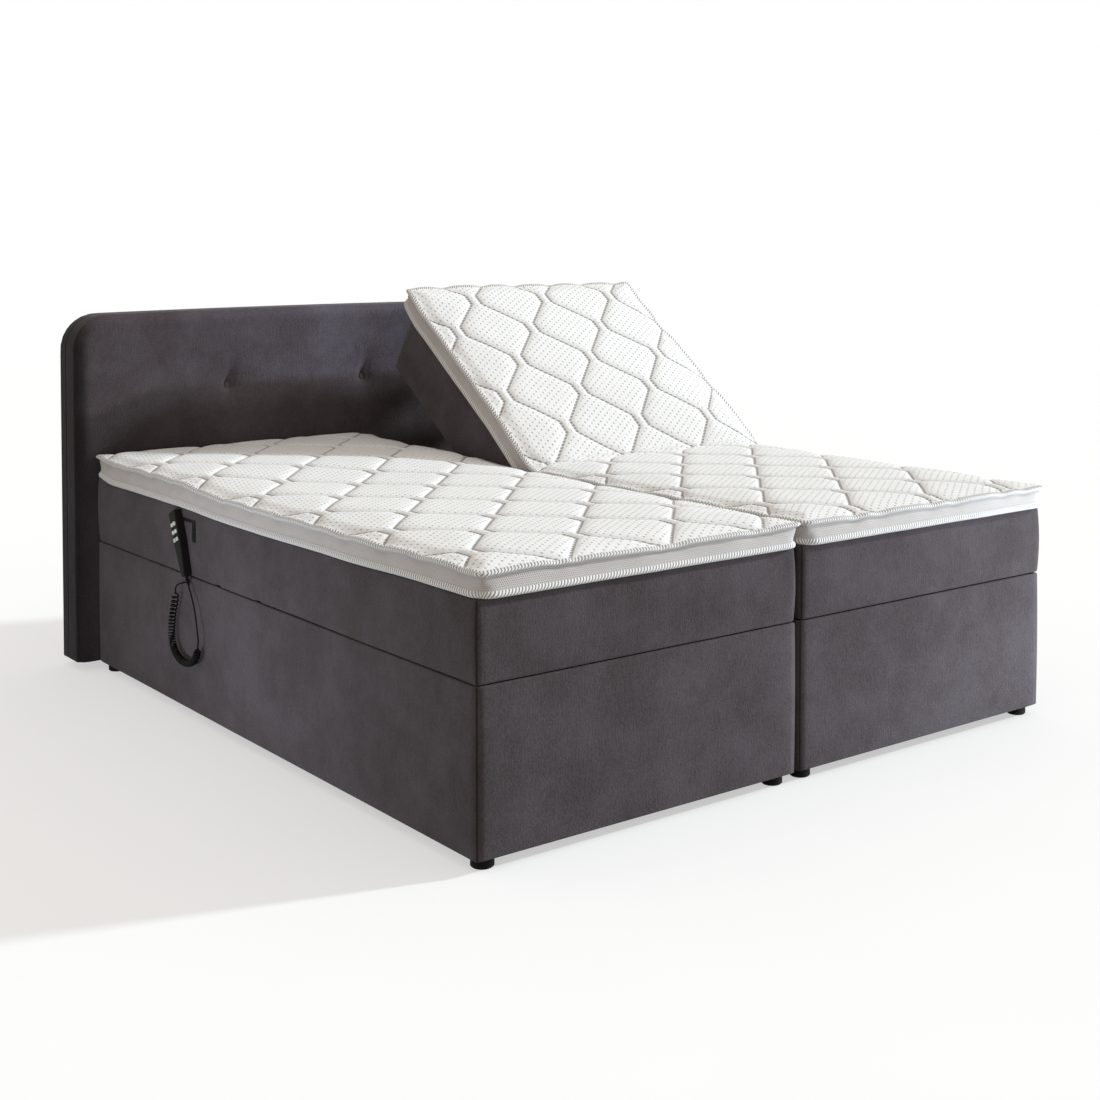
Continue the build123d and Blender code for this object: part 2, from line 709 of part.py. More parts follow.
def handset_back():
    """Rear shell."""
    shell = extrude(handset_outline(), amount=HANDSET_BACK_THICK)
    hollow = extrude(handset_outline(HANDSET_WALL), amount=HANDSET_BACK_THICK)
    return shell - Pos(0, 0, HANDSET_WALL) * hollow


def handset_front():
    """Front shell, open for the keys."""
    height = HANDSET_THICK - HANDSET_BACK_THICK
    shell = extrude(handset_outline(), amount=height)
    shell = fillet(shell.faces().sort_by(Axis.Z)[-1].edges(), HANDSET_ROUND)
    shell -= extrude(handset_outline(HANDSET_WALL), amount=height - HANDSET_WALL)
    gap = 2 * KEY_CLEARANCE
    for x, y in key_places():
        window = RectangleRounded(KEY_WIDTH + gap, KEY_HEIGHT + gap, KEY_ROUND)
        shell -= Pos(x, y, 0) * extrude(window, amount=height)
    return Pos(0, 0, HANDSET_BACK_THICK) * shell


def handset_key(x, y):
    """One key: a cap with a flange that stops it behind the front wall."""
    wall_back = HANDSET_THICK - HANDSET_WALL - RUNNING_CLEARANCE
    flange_bottom = wall_back - KEY_FLANGE_THICK
    widths = (KEY_WIDTH + 2 * KEY_FLANGE, KEY_HEIGHT + 2 * KEY_FLANGE)
    flange = extrude(RectangleRounded(*widths, KEY_ROUND), amount=KEY_FLANGE_THICK)
    cap_height = HANDSET_THICK + KEY_PROUD - flange_bottom
    cap = extrude(RectangleRounded(KEY_WIDTH, KEY_HEIGHT, KEY_ROUND), amount=cap_height)
    return Pos(x, y, flange_bottom) * (cap + flange)


def handset_hook():
    """Holder on the mattress side: a bar behind the handset and a plate with two screws."""
    x1 = -(BED_SIDE + SOFT_GAP)
    x0 = x1 - HOOK_THICK
    bar_y = HANDSET_TIP_Y + HOOK_BAR_FROM_TIP * sin(LEAN)
    bar_z = HANDSET_TIP_Z + HOOK_BAR_FROM_TIP * cos(LEAN)
    plate_y = bar_y - HOOK_REACH
    plate_top = bar_z + HOOK_BAR_HEIGHT / 2
    bar = block(x0, x1, plate_y, bar_y, bar_z - HOOK_BAR_HEIGHT / 2, plate_top)
    plate = block(x0, x1, plate_y, plate_y + HOOK_PLATE_WIDTH, plate_top - HOOK_PLATE_HEIGHT, plate_top)
    holder = bar + plate
    screws = []
    for way in (1, -1):
        z = plate_top - HOOK_PLATE_HEIGHT / 2 + way * SCREW_SPACING / 2
        screws.append(rod_x(x0 - SCREW_HEIGHT, x0, plate_y + HOOK_PLATE_WIDTH / 2, z, SCREW_RADIUS))
    return shift([holder] + screws, y=FOOT_END)


# Handset cord
def cord_grommet():
    """Plug in the box side that the cord comes out of."""
    z = BOX_TOP - GROMMET_DROP
    stem = rod_x(-BED_SIDE, -HALF_CENTRE - INNER_SIDE, GROMMET_Y, z, GROMMET_RADIUS)
    flange = rod_x(-BED_SIDE - GROMMET_FLANGE_THICK, -BED_SIDE, GROMMET_Y, z, GROMMET_FLANGE_RADIUS)
    return Pos(0, FOOT_END, 0) * (stem + flange)


def cord_tube(points, radius):
    """A round tube along straight runs with arcs as large as the runs allow."""
    route = [Vector(*point) for point in points]
    radii = []
    for before, here, after in zip(route, route[1:], route[2:]):
        turn = (here - before).get_angle(after - here)
        shorter = min((here - before).length, (after - here).length)
        radii.append(BEND_SHARE_OF_RUN * shorter / tan(radians(turn) / 2))
    path = FilletPolyline(*route, radius=radii)
    section = Plane(origin=route[0], z_dir=route[1] - route[0]) * Circle(radius)
    tube = sweep(section, path=path)
    return Pos(0, FOOT_END, 0) * tube


def handset_lead_points():
    """Route of the lead from the end of the curl up into the handset's tip."""
    x = HANDSET_BACK_X - HANDSET_THICK / 2
    end = (x, HANDSET_TIP_Y, HANDSET_TIP_Z)
    before = (x, HANDSET_TIP_Y - LEAD_END_RUN * sin(LEAN), HANDSET_TIP_Z - LEAD_END_RUN * cos(LEAN))
    return [CURL_POINTS[-1]] + HANDSET_LEAD_BENDS + [before, end]


def exit_lead_points():
    """Route of the lead from the grommet to the start of the curl."""
    start = (-BED_SIDE - GROMMET_FLANGE_THICK, GROMMET_Y, BOX_TOP - GROMMET_DROP)
    return [start] + EXIT_LEAD_BENDS + [CURL_POINTS[0]]


# Pieces that belong to the whole bed
os.makedirs("parts", exist_ok=True)
save("headboard_board", shift([headboard_board()], y=FOOT_END))
save("headboard_padding", shift([headboard_padding()], y=FOOT_END))
save("headboard_buttons", shift(headboard_buttons(), y=FOOT_END))
save("headboard_bolts", shift(headboard_bolts(), y=FOOT_END))
save("feet", [foot for side in SIDES for foot in place(side, feet())])
save("dust_covers", [sheet for side in SIDES for sheet in place(side, dust_cover())])
save("deck_rails", [rail for side in SIDES for rail in place(side, deck_rails())])
save("seat_panels", [panel for side in SIDES for panel in place(side, seat_panel())])
motors = [
    drive_motor(HEAD_CASE_FRONT, True, DRIVE_OFFSET),
    drive_motor(LEG_CASE_FRONT, False, -DRIVE_OFFSET),
]
save("drive_motors", [motor for side in SIDES for motor in place(side, motors)])

# Handset and its cord
save("handset_front", hang([handset_front()]))
save("handset_back", hang([handset_back()]))
save("handset_hook", handset_hook())
KEY_NAMES = ["head_up", "head_down", "leg_up", "leg_down", "both_up", "both_down"]
for name, (x, y) in zip(KEY_NAMES, key_places()):
    save(f"button_{name}", hang([handset_key(x, y)]))
save("cord_grommet", [cord_grommet()])
save("cord_exit_lead", [cord_tube(exit_lead_points(), LEAD_RADIUS)])
save("cord_curl", [cord_tube(CURL_POINTS, CURL_RADIUS)])
save("cord_handset_lead", [cord_tube(handset_lead_points(), LEAD_RADIUS)])

# Pieces of each half
LAYERS = {
    "mattress": (MATTRESS_BOTTOM + SOFT_GAP, MATTRESS_TOP),
    "topper": (MATTRESS_TOP + SOFT_GAP, TOPPER_TOP),
}
for side in SIDES:
    rest = radians(HEAD_REST[side])
    save(f"{side}_box_panels", place(side, box_panels(side)))
    save(f"{side}_box_cover", place(side, box_cover(side)))
    save(f"{side}_head_frame", place_head(side, head_frame()))
    head_board = deck_panel(HEAD_HINGE + PANEL_HINGE_GAP, PANEL_HEAD_END)
    save(f"{side}_head_panel", place_head(side, head_board))
    save(f"{side}_thigh_frame", place(side, thigh_frame()))
    thigh_board = deck_panel(KNEE_HINGE + PANEL_HINGE_GAP, THIGH_HINGE - PANEL_HINGE_GAP)
    save(f"{side}_thigh_panel", place(side, thigh_board))
    save(f"{side}_calf_frame", place(side, calf_frame()))
    save(f"{side}_calf_panel", place(side, deck_panel(PANEL_FOOT_END, KNEE_HINGE - PANEL_HINGE_GAP)))
    cases = [
        drive_case(HEAD_CASE_FRONT, True, DRIVE_OFFSET),
        drive_case(LEG_CASE_FRONT, False, -DRIVE_OFFSET),
    ]
    save(f"{side}_drive_case", place(side, cases))
    pushed = HEAD_PUSH_TRAVEL * HEAD_REST[side] / HEAD_TRAVEL
    head_push = push_block(HEAD_FORK_FLAT, True, DRIVE_OFFSET, HEAD_PUSH_TRAVEL)
    save(f"{side}_head_push_block", place(side, shift(head_push, y=pushed)))
    leg_push = push_block(LEG_FORK_FLAT, False, -DRIVE_OFFSET, LEG_PUSH_TRAVEL)
    save(f"{side}_leg_push_block", place(side, leg_push))
    for layer, (bottom, top) in LAYERS.items():
        slide = TOPPER_SLIDE_PER_RADIAN * rest if layer == "topper" else 0
        save(f"{side}_{layer}_head", place_head(side, shift([soft_head(bottom, top)], y=slide)))
        save(f"{side}_{layer}_middle", place(side, [soft_middle(bottom, top, HEAD_REST[side], slide)]))
        save(f"{side}_{layer}_thigh", place(side, [soft_thigh(bottom, top)]))
        save(f"{side}_{layer}_calf", place(side, [soft_calf(bottom, top)]))
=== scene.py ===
import json
import math

import bmesh
import bpy
import numpy as np
from bpy.props import FloatProperty, FloatVectorProperty, PointerProperty
from mathutils import Matrix, Vector


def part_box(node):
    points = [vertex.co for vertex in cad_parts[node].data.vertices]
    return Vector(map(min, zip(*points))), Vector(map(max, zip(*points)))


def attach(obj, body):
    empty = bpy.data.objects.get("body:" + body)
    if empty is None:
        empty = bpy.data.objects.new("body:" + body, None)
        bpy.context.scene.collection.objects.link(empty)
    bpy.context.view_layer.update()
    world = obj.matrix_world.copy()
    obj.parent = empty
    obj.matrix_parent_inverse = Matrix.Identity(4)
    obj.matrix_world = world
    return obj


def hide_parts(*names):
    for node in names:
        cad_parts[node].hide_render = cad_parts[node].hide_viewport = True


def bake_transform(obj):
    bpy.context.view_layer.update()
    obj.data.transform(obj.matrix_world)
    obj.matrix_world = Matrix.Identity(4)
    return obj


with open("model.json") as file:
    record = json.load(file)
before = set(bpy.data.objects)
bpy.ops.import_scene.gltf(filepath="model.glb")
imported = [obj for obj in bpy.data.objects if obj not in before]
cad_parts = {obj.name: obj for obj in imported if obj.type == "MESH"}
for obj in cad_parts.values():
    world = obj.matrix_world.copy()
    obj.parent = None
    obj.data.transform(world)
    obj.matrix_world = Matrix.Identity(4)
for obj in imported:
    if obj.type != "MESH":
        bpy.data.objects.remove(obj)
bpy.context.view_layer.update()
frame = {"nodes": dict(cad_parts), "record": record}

bl_info = {
    "name": "Motorised box-spring bed",
    "version": (1, 0, 0),
    "blender": (4, 5, 0),
    "location": "View3D > Sidebar > Bed",
    "description": "Dresses the packed frame of a motorised double bed with its soft pieces and cord",
    "category": "Object",
}

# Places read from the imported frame, in metres
JOINTS = {joint["name"]: joint for joint in frame["record"]["behaviour"]["joints"]}
SIDES = ("left", "right")
BOX = {side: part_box(f"{side}_box_cover") for side in SIDES}
HALF_X = {side: (BOX[side][0][0] + BOX[side][1][0]) / 2 for side in SIDES}
HALF_WIDTH = BOX["left"][1][0] - BOX["left"][0][0]
BOX_LENGTH = BOX["left"][1][1] - BOX["left"][0][1]
FOOT_END = BOX["left"][0][1]
BOX_BOTTOM = BOX["left"][0][2]
BOX_TOP = BOX["left"][1][2]
MATTRESS_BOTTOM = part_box("left_mattress_calf")[0][2]
MATTRESS_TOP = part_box("left_mattress_calf")[1][2]
HEAD_HINGE = JOINTS["left_head_hinge"]["pos_m"][1] - FOOT_END
HINGE_HEIGHT = JOINTS["left_head_hinge"]["pos_m"][2]
HEAD_REST = {side: math.radians(-JOINTS[f"{side}_head_hinge"]["range_deg"][0]) for side in SIDES}
SLIDE_REST = {side: -JOINTS[f"{side}_topper_slide"]["range_m"][0] for side in SIDES}

# Points nearer than the first lie on the same line, and a distance under the second is none
NEARLY = 1e-6
NO_REACH = 1e-9

# Where the soft layers are cut into pieces, as distances from the foot end; the other places here are worked
# out but not used
CALF_BEND = (0.77, 0.39)
THIGH_BEND = {"left": (1.01, 0.79), "right": (0.985, 0.785)}
LEFT_FOLD = (1.01, 1.48)
LEFT_SLIDE = (1.50, 1.85)
RIGHT_FOLD_END = 1.30
RIGHT_SLIDE = (1.32, 1.72)
CUT_MARGIN = 1e-4

# The raised half's bend: its inner radius, and where its layers fold as distances from the bend's start,
# worked out but not used
BEND_RADIUS = 0.12
MATTRESS_FOLD = (-0.060, 0.250)
TOPPER_FOLD = (-0.043, 0.157)

# Unevenness of the cloth: the seed of its waves, their length and their height
COVER_SWELL = (3, 0.90, 0.0011)
MATTRESS_SWELL = (11, 0.45, 0.0020)
TOPPER_SWAY = (21, 0.36, 0.0034)
TOPPER_WAVE = (8, 0.34, 0.0032)
TOPPER_SAG = (5, 0.60, 0.0026)
RIPPLE_UNEVEN = (17, 0.20, 0.40)
PADDING_SWELL = (31, 0.90, 0.0014)
WAVE_SCALES = (1.0, 2.1, 4.3)
WAVES_PER_SCALE = 3
WAVE_SUM = 5.5
WAVE_TURN = 6.28

# Loops of a soft side: turns of its rounded edges in degrees, and shares of its height between them
EDGE_TURNS = (0, 30, 60, 90)
SIDE_LOOPS = (0.2, 0.35, 0.5, 0.65, 0.8)

# Box covers
COVER_STEP = 0.022
COVER_PUFF = 0.0016
COVER_TURN_IN = 0.021
COVER_CLOTH = 0.0012
SEAM_REACH = 0.05
SEAM_EDGE = (0.0042, 0.0010)

# Mattresses: creases in the side where the deck folds, and how the lower rim and the side are held
MATTRESS_STEP = 0.0125
MATTRESS_PUFF = 0.0045
CREASES = (HEAD_HINGE + 0.035, 0.965)
CREASE_WIDTH = 0.011
CREASE_HEIGHT = 0.085
CREASE_DEPTH = 0.008
RIM_FALL = 0.0020
RIM_HEIGHT = 0.020
RIM_REACH = (0.010, 0.035)
HANDSET_PRESS = (0.005, 0.032)
MATTRESS_DRAW = (0.0040, 0.0060)
MATTRESS_MIDDLE_GAP = 0.0030

# How the toppers and mattresses settle: rises and falls of the edges along the bed, from the foot end
LIP_RISE = 0.013
LIP_RISE_ZONE = (1.15, 1.42)
END_RISE = 0.009
END_RISE_ZONE = (1.86, 2.00)
LOW_EDGE_FALL = 0.004
LOW_EDGE_ZONE = (0.25, 0.55)
LOW_EDGE_RISE = {"left": 0.003, "right": 0.009}
LOW_END_RISE = 0.016
DRAW_REACH = 0.10

# Toppers: loops of the tapes and the border, as heights or falls from the lip, and how far each is out
LOW_TAPE = [(0.0, 0.0020), (0.0030, 0.0085), (0.0080, 0.0095), (0.0125, 0.0065), (0.0150, 0.0030)]
LOW_BORDER = (0.0220, 0.0015)
MIDDLE_BORDER_OUT = 0.0005
HIGH_BORDER = (0.0180, -0.0010)
HIGH_TAPE = [(0.0115, -0.0030), (0.0095, 0.0040), (0.0060, 0.0085), (0.0020, 0.0080), (0.0, 0.0030)]
LOW_TAPE_TOP = 0.0140
HIGH_TAPE_FALL = 0.0105
TAPE_ON_TOP = 0.0040
TAPE_BELOW = 0.0080
QUILT_FACE, BORDER_FACE, TAPE_FACE = range(3)

# Toppers: how their corners, edges and tops are shaped
LOW_CORNER_HEIGHT = 0.012
LOW_CORNER_FALL = 0.010
CROWN_REACH = 0.16
EDGE_ROLL = 0.0080
EDGE_ROLL_REACH = (0.004, 0.050)
UPPER_EDGE_FALL = 0.011
TUG = 0.0045
TUG_REACH = 0.030
SWAY_SQUEEZE = (1.0, 1.0, 0.3)
WAVE_REACH = 0.06
SAG_SHIFT = 7.0
SAG_HEIGHT = (0.01, 0.05)
TOPPER_SHIFT = (0.008, -0.005)
TOPPER_SHIFT_REACH = (1.10, 0.40)
TOPPER_DRAW = (0.0065, 0.0105)
TOPPER_MIDDLE_GAP = 0.0006

# Ripples across the raised topper where it folds
FOLD_MIDDLE = 1.10
FOLD_REACH = 0.075
FOLD_RIPPLE = 0.0042
RIPPLE_LENGTH = 0.034
RIPPLE_BOW = 0.02
RIPPLE_BOWS = 9.0
RIPPLE_EVEN = 0.6
RIPPLE_EDGE = 0.04

# Quilting of the toppers: wavy stitch lines along the bed, each the mirror of the next, and knitted dots
QUILT_SPACING = 0.1385
QUILT_SWING = 0.050
QUILT_PERIOD = 0.311
QUILT_FLATNESS = 1.45
QUILT_SHIFT = {"left": (0.026, 0.010), "right": (0.027, -0.050)}
QUILT_EDGE = (0.004, 0.030)
QUILT_VALLEYS = ((0.40, 0.028), (0.60, 0.0080))
STITCH_LENGTH = 0.012
THREAD_AND_SHADE_EDGE = (0.0022, 0.0074)
VALLEY_REACH = 0.010
DOT_STEP = (0.0149, 0.0107)
DOT_NEXT_ROW = (0.0065, -0.0170)
DOT_EDGE = (0.0012, 0.0043)
DOT_CLEARANCE = (0.008, 0.018)
# Painted shade in the sunk dots
DOT_SHADE_COLOUR = (0.34, 0.33, 0.32)
# Painted shade along the stitched valleys
VALLEY_SHADE_COLOUR = (0.50, 0.47, 0.43)
# The stitch thread's own colour, widened into painted shade beside the thread
THREAD_AND_SHADE_COLOUR = (0.19, 0.175, 0.16)

# Border mesh and edge tape of the toppers
HOLE_SPACING = (0.0050, 0.0042)
TAPE_RIB = 0.0082
TAPE_SLANT = 0.70

# Headboard: its meshes, its rounded edges, the pulls of its buttons and the creases above them
PAD_STEP = 0.012
PAD_BACK_ROUND = 0.004
BACK_STEP = 0.030
BACK_FRONT_ROUND = 0.003
BACK_ROUND = 0.008
ARCH_START = 0.6
SWELL_SHIFT = 2.0
BUTTON_PULLS = ((0.0120, 0.017), (0.0130, 0.060))
BUTTON_CREASE_LENGTH = 0.14
BUTTON_CREASE_LEAN = 0.020
BUTTON_CREASE_WIDTH = 0.007
BUTTON_CREASE_SPREAD = 0.016
BUTTON_CREASE_DEPTH = 0.0075

# Painted light and shade on the headboard's pile: painted shade down the side edges, a painted highlight
# above the row of buttons and painted shadow below it
EDGE_SHADE = 1.0
EDGE_SHADE_REACH = 0.055
PAINTED_HIGHLIGHT = (0.15, 1.00)
PAINTED_HIGHLIGHT_ZONE = (0.05, 0.75)
PAINTED_SHADOW = 0.42
PAINTED_SHADOW_ZONE = (0.42, 0.78)
SHADOW_LINE_RISE = 0.012
SHADOW_LINE_FALL = 0.070
SHADOW_LINE_BLUR = (-0.025, 0.015)
SHADOW_LINE_FALL_ZONE = (0.66, 0.93)

# Tones of the velour, as shares of its colour
PILE_DARK = (0.68, 0.64, 0.62)
PILE_PALE = (1.42, 1.48, 1.58)
PILE_TIP = 1.55
# Tints of the painted highlight and the painted shade on the headboard's cloth
PILE_LIT = (1.70, 1.85, 2.15)
PAINTED_SHADE_TONE = 0.30
SEAM_TONE = 0.30

# Colours of what a user wouldn't change
ZINC = (0.56, 0.56, 0.58)
DUST_DARK = (0.012, 0.012, 0.012)
DUST_PALE = (0.050, 0.050, 0.052)
RUBBER_TONE = 0.8

# Handset cord: its route from the grommet to the handset, with distances from the foot end, and its curl
CORD_ROUTE = [
    (-0.902, 1.362, 0.366),
    (-0.911, 1.362, 0.366),
    (-0.9185, 1.3655, 0.3648),
    (-0.9235, 1.3715, 0.362),
    (-0.9265, 1.379, 0.3575),
    (-0.9275, 1.385, 0.3515),
    (-0.9267, 1.3879, 0.345),
    (-0.926, 1.390, 0.338),
    (-0.924, 1.396, 0.318),
    (-0.923, 1.412, 0.288),
    (-0.922, 1.424, 0.252),
    (-0.922, 1.427, 0.214),
    (-0.922, 1.412, 0.181),
    (-0.922, 1.378, 0.161),
    (-0.922, 1.336, 0.157),
    (-0.922, 1.294, 0.168),
    (-0.922, 1.269, 0.190),
    (-0.922, 1.263, 0.213),
    (-0.922, 1.2585, 0.23025),
    (-0.9215, 1.265, 0.251),
    (-0.920, 1.275, 0.278),
    (-0.918, 1.288, 0.305),
    (-0.916, 1.306, 0.330),
    (-0.914, 1.326, 0.350),
    (-0.9123, 1.34187, 0.36673),
    (-0.9123, 1.350, 0.385),
]
ROUTE_RESOLUTION = 24
CURL_START = 7
CURL_END = 17
CURL_OUTER_RADIUS = 0.0100
CURL_EASE = 0.012
CURL_SETTLED = 0.50
TURN_POINTS = 14

# Strain relief at the handset's tip: a collar, ribs and a thin end, as distances from the tip and radii
BOOT_SEGMENTS = 16
BOOT_COLLAR = [(-0.004, 0.0048), (0.001, 0.0048)]
BOOT_RIBS = 5
RIB_START = 0.002
RIB_PITCH = 0.0042
RIB_WIDTH = 0.0022
RIB_GROOVE = (0.0026, 0.0038)
RIB_RADIUS = 0.0047
RIB_TAPER = 0.00034
RIB_DEPTH = 0.0009
BOOT_END = (0.0235, 0.0024)

# Finish of the pieces that are shown as the frame has them
NODE_FINISH = {
    "headboard_buttons": "velour",
    "headboard_bolts": "zinc",
    "feet": "plastic",
    "dust_covers": "dust",
    "deck_rails": "timber",
    "seat_panels": "board",
    "drive_motors": "plastic",
    "cord_grommet": "rubber",
    "handset_front": "plastic",
    "handset_back": "plastic",
    "handset_hook": "plastic",
}
HALF_NODE_FINISH = {
    "box_panels": "board",
    "head_frame": "steel",
    "head_panel": "board",
    "thigh_frame": "steel",
    "thigh_panel": "board",
    "calf_frame": "steel",
    "calf_panel": "board",
    "drive_case": "plastic",
    "head_push_block": "zinc",
    "leg_push_block": "zinc",
}

# Stage: the camera, the lamps, the even light and the floor
CAMERA_PLACE = (-2.7128, -2.7200 + FOOT_END, 1.2899)
CAMERA_TURN = math.radians(-38.396)
CAMERA_DIP = math.radians(2.03)
CAMERA_LENS = 53.97
CAMERA_SHIFT = (-0.0555, -0.2362)
KEY_FROM = Vector((0.88, -0.29, 0.40))
KEY_COLOUR = (0.855, 0.955, 1.0)
KEY_POWER = 3.3
KEY_ANGLE = math.radians(4.0)
FILL_COLOUR = (0.76, 0.89, 1.0)
FILLS = {
    "foot_fill": {
        "place": (1.55, -1.05 + FOOT_END, 0.14),
        "aim": (0.80, FOOT_END, 0.24),
        "size": (0.90, 0.16),
        "power": 34.0,
    },
    "side_fill": {
        "place": (-1.75, 0.95 + FOOT_END, 0.12),
        "aim": (-0.90, 0.95 + FOOT_END, 0.16),
        "size": (0.40, 0.12),
        "power": 6.0,
    },
}
WORLD_LIGHT = 0.62
SHADE_COLOUR = (1.0, 0.925, 0.855)
WHITE = (1.0, 1.0, 1.0)
BLACK = (0.0, 0.0, 0.0)
FLOOR_REACH = 20.0
FLOOR_TONES = ((0.46, 0.46, 0.46), (0.48, 0.48, 0.48))
FLOOR_GLOW = (0.53, 0.53, 0.53)


class BedSizes(bpy.types.PropertyGroup):
    """Sizes of the soft pieces that a user would change."""

    topper_lip: FloatProperty(
        name="Topper edge height",
        description="Height of a topper's edge",
        default=0.058,
        unit="LENGTH",
    )
    topper_crown: FloatProperty(
        name="Topper crown",
        description="Rise from a topper's edge to its middle",
        default=0.009,
        unit="LENGTH",
    )
    topper_corner: FloatProperty(
        name="Topper corner",
        description="Plan radius of a topper's upper corners",
        default=0.010,
        unit="LENGTH",
    )
    topper_low_corner: FloatProperty(
        name="Topper low corner",
        description="Plan radius of a topper's lower corners",
        default=0.040,
        unit="LENGTH",
    )
    quilt_depth: FloatProperty(
        name="Quilt depth",
        description="Depth of the stitched lines in a topper",
        default=0.0080,
        unit="LENGTH",
    )
    quilt_step: FloatProperty(
        name="Quilt mesh step",
        description="Spacing of a topper's mesh",
        default=0.0065,
        unit="LENGTH",
    )
    mattress_round: FloatProperty(
        name="Mattress edge",
        description="Radius of a mattress's edges",
        default=0.006,
        unit="LENGTH",
    )
    mattress_corner: FloatProperty(
        name="Mattress corner",
        description="Plan radius of a mattress's corners",
        default=0.009,
        unit="LENGTH",
    )
    cover_corner: FloatProperty(
        name="Box corner",
        description="Plan radius of a box cover's corners",
        default=0.009,
        unit="LENGTH",
    )
    cover_round: FloatProperty(
        name="Box edge",
        description="Radius of a box cover's long edges",
        default=0.004,
        unit="LENGTH",
    )
    headboard_corner: FloatProperty(
        name="Headboard corner",
        description="Radius of the headboard's upper corners",
        default=0.105,
        unit="LENGTH",
    )
    headboard_round: FloatProperty(
        name="Headboard edge",
        description="Radius of the padding's front edges",
        default=0.030,
        unit="LENGTH",
    )
    headboard_arch: FloatProperty(
        name="Headboard arch",
        description="Fall of the headboard's top edge to its corners",
        default=0.008,
        unit="LENGTH",
    )
    cord_diameter: FloatProperty(
        name="Cord",
        description="Diameter of the handset cord",
        default=0.0042,
        unit="LENGTH",
    )
    curl_pitch: FloatProperty(
        name="Curl pitch",
        description="Advance of the curl in one turn at its bottom",
        default=0.0060,
        unit="LENGTH",
    )
    curl_open_pitch: FloatProperty(
        name="Open pitch",
        description="Advance of the curl in one turn where its weight stretches it",
        default=0.0140,
        unit="LENGTH",
    )


class BedColours(bpy.types.PropertyGroup):
    """Colours of the finishes."""

    velour: FloatVectorProperty(
        name="Velour", description="Upholstery", subtype="COLOR", default=(0.0655, 0.0528, 0.0552)
    )
    quilt: FloatVectorProperty(
        name="Quilt", description="Topper's knitted top", subtype="COLOR", default=(0.865, 0.865, 0.86)
    )
    border: FloatVectorProperty(
        name="Border", description="Topper's mesh border", subtype="COLOR", default=(0.535, 0.495, 0.475)
    )
    tape: FloatVectorProperty(
        name="Tape", description="Topper's edge tape", subtype="COLOR", default=(0.74, 0.72, 0.70)
    )
    board: FloatVectorProperty(
        name="Board", description="Walls and deck boards", subtype="COLOR", default=(0.50, 0.36, 0.22)
    )
    timber: FloatVectorProperty(
        name="Timber", description="Rails and beams", subtype="COLOR", default=(0.60, 0.43, 0.26)
    )
    steel: FloatVectorProperty(
        name="Frame steel",
        description="Deck frames' powder coat",
        subtype="COLOR",
        default=(0.035, 0.035, 0.038),
    )
    plastic: FloatVectorProperty(
        name="Plastic",
        description="Handset, drives and feet",
        subtype="COLOR",
        default=(0.010, 0.0092, 0.0085),
    )
    keys: FloatVectorProperty(
        name="Keys", description="Handset keys", subtype="COLOR", default=(0.52, 0.54, 0.48)
    )


def sizes():
    """The size settings of the scene."""
    return bpy.context.scene.bed_sizes


def colours():
    """The colour settings of the scene."""
    return bpy.context.scene.bed_colours


# Shader maths as Python expressions
class Signal:
    """An output socket that takes part in expressions."""

    def __init__(self, finish, socket):
        self.finish = finish
        self.socket = socket

    def math(self, operation, *others, first=None):
        """A Math node on this signal, or on a first value and this signal."""
        values = [self, *others] if first is None else [first, self]
        return self.finish.node("ShaderNodeMath", {"operation": operation}, values)

    def __add__(self, other):
        return self.math("ADD", other)

    __radd__ = __add__

    def __sub__(self, other):
        return self.math("SUBTRACT", other)

    def __rsub__(self, other):
        return self.math("SUBTRACT", first=other)

    def __mul__(self, other):
        return self.math("MULTIPLY", other)

    __rmul__ = __mul__

    def __truediv__(self, other):
        return self.math("DIVIDE", other)

    def __abs__(self):
        return self.math("ABSOLUTE")

    def clip(self, low=0.0, high=1.0):
        """Kept between two values."""
        return self.math("MAXIMUM", low).math("MINIMUM", high)

    def ramp(self, low, high):
        """0 at low, 1 at high, smooth between."""
        return self.finish.node(
            "ShaderNodeMapRange",
            {"interpolation_type": "SMOOTHSTEP"},
            {"Value": self, "From Min": low, "From Max": high},
        )


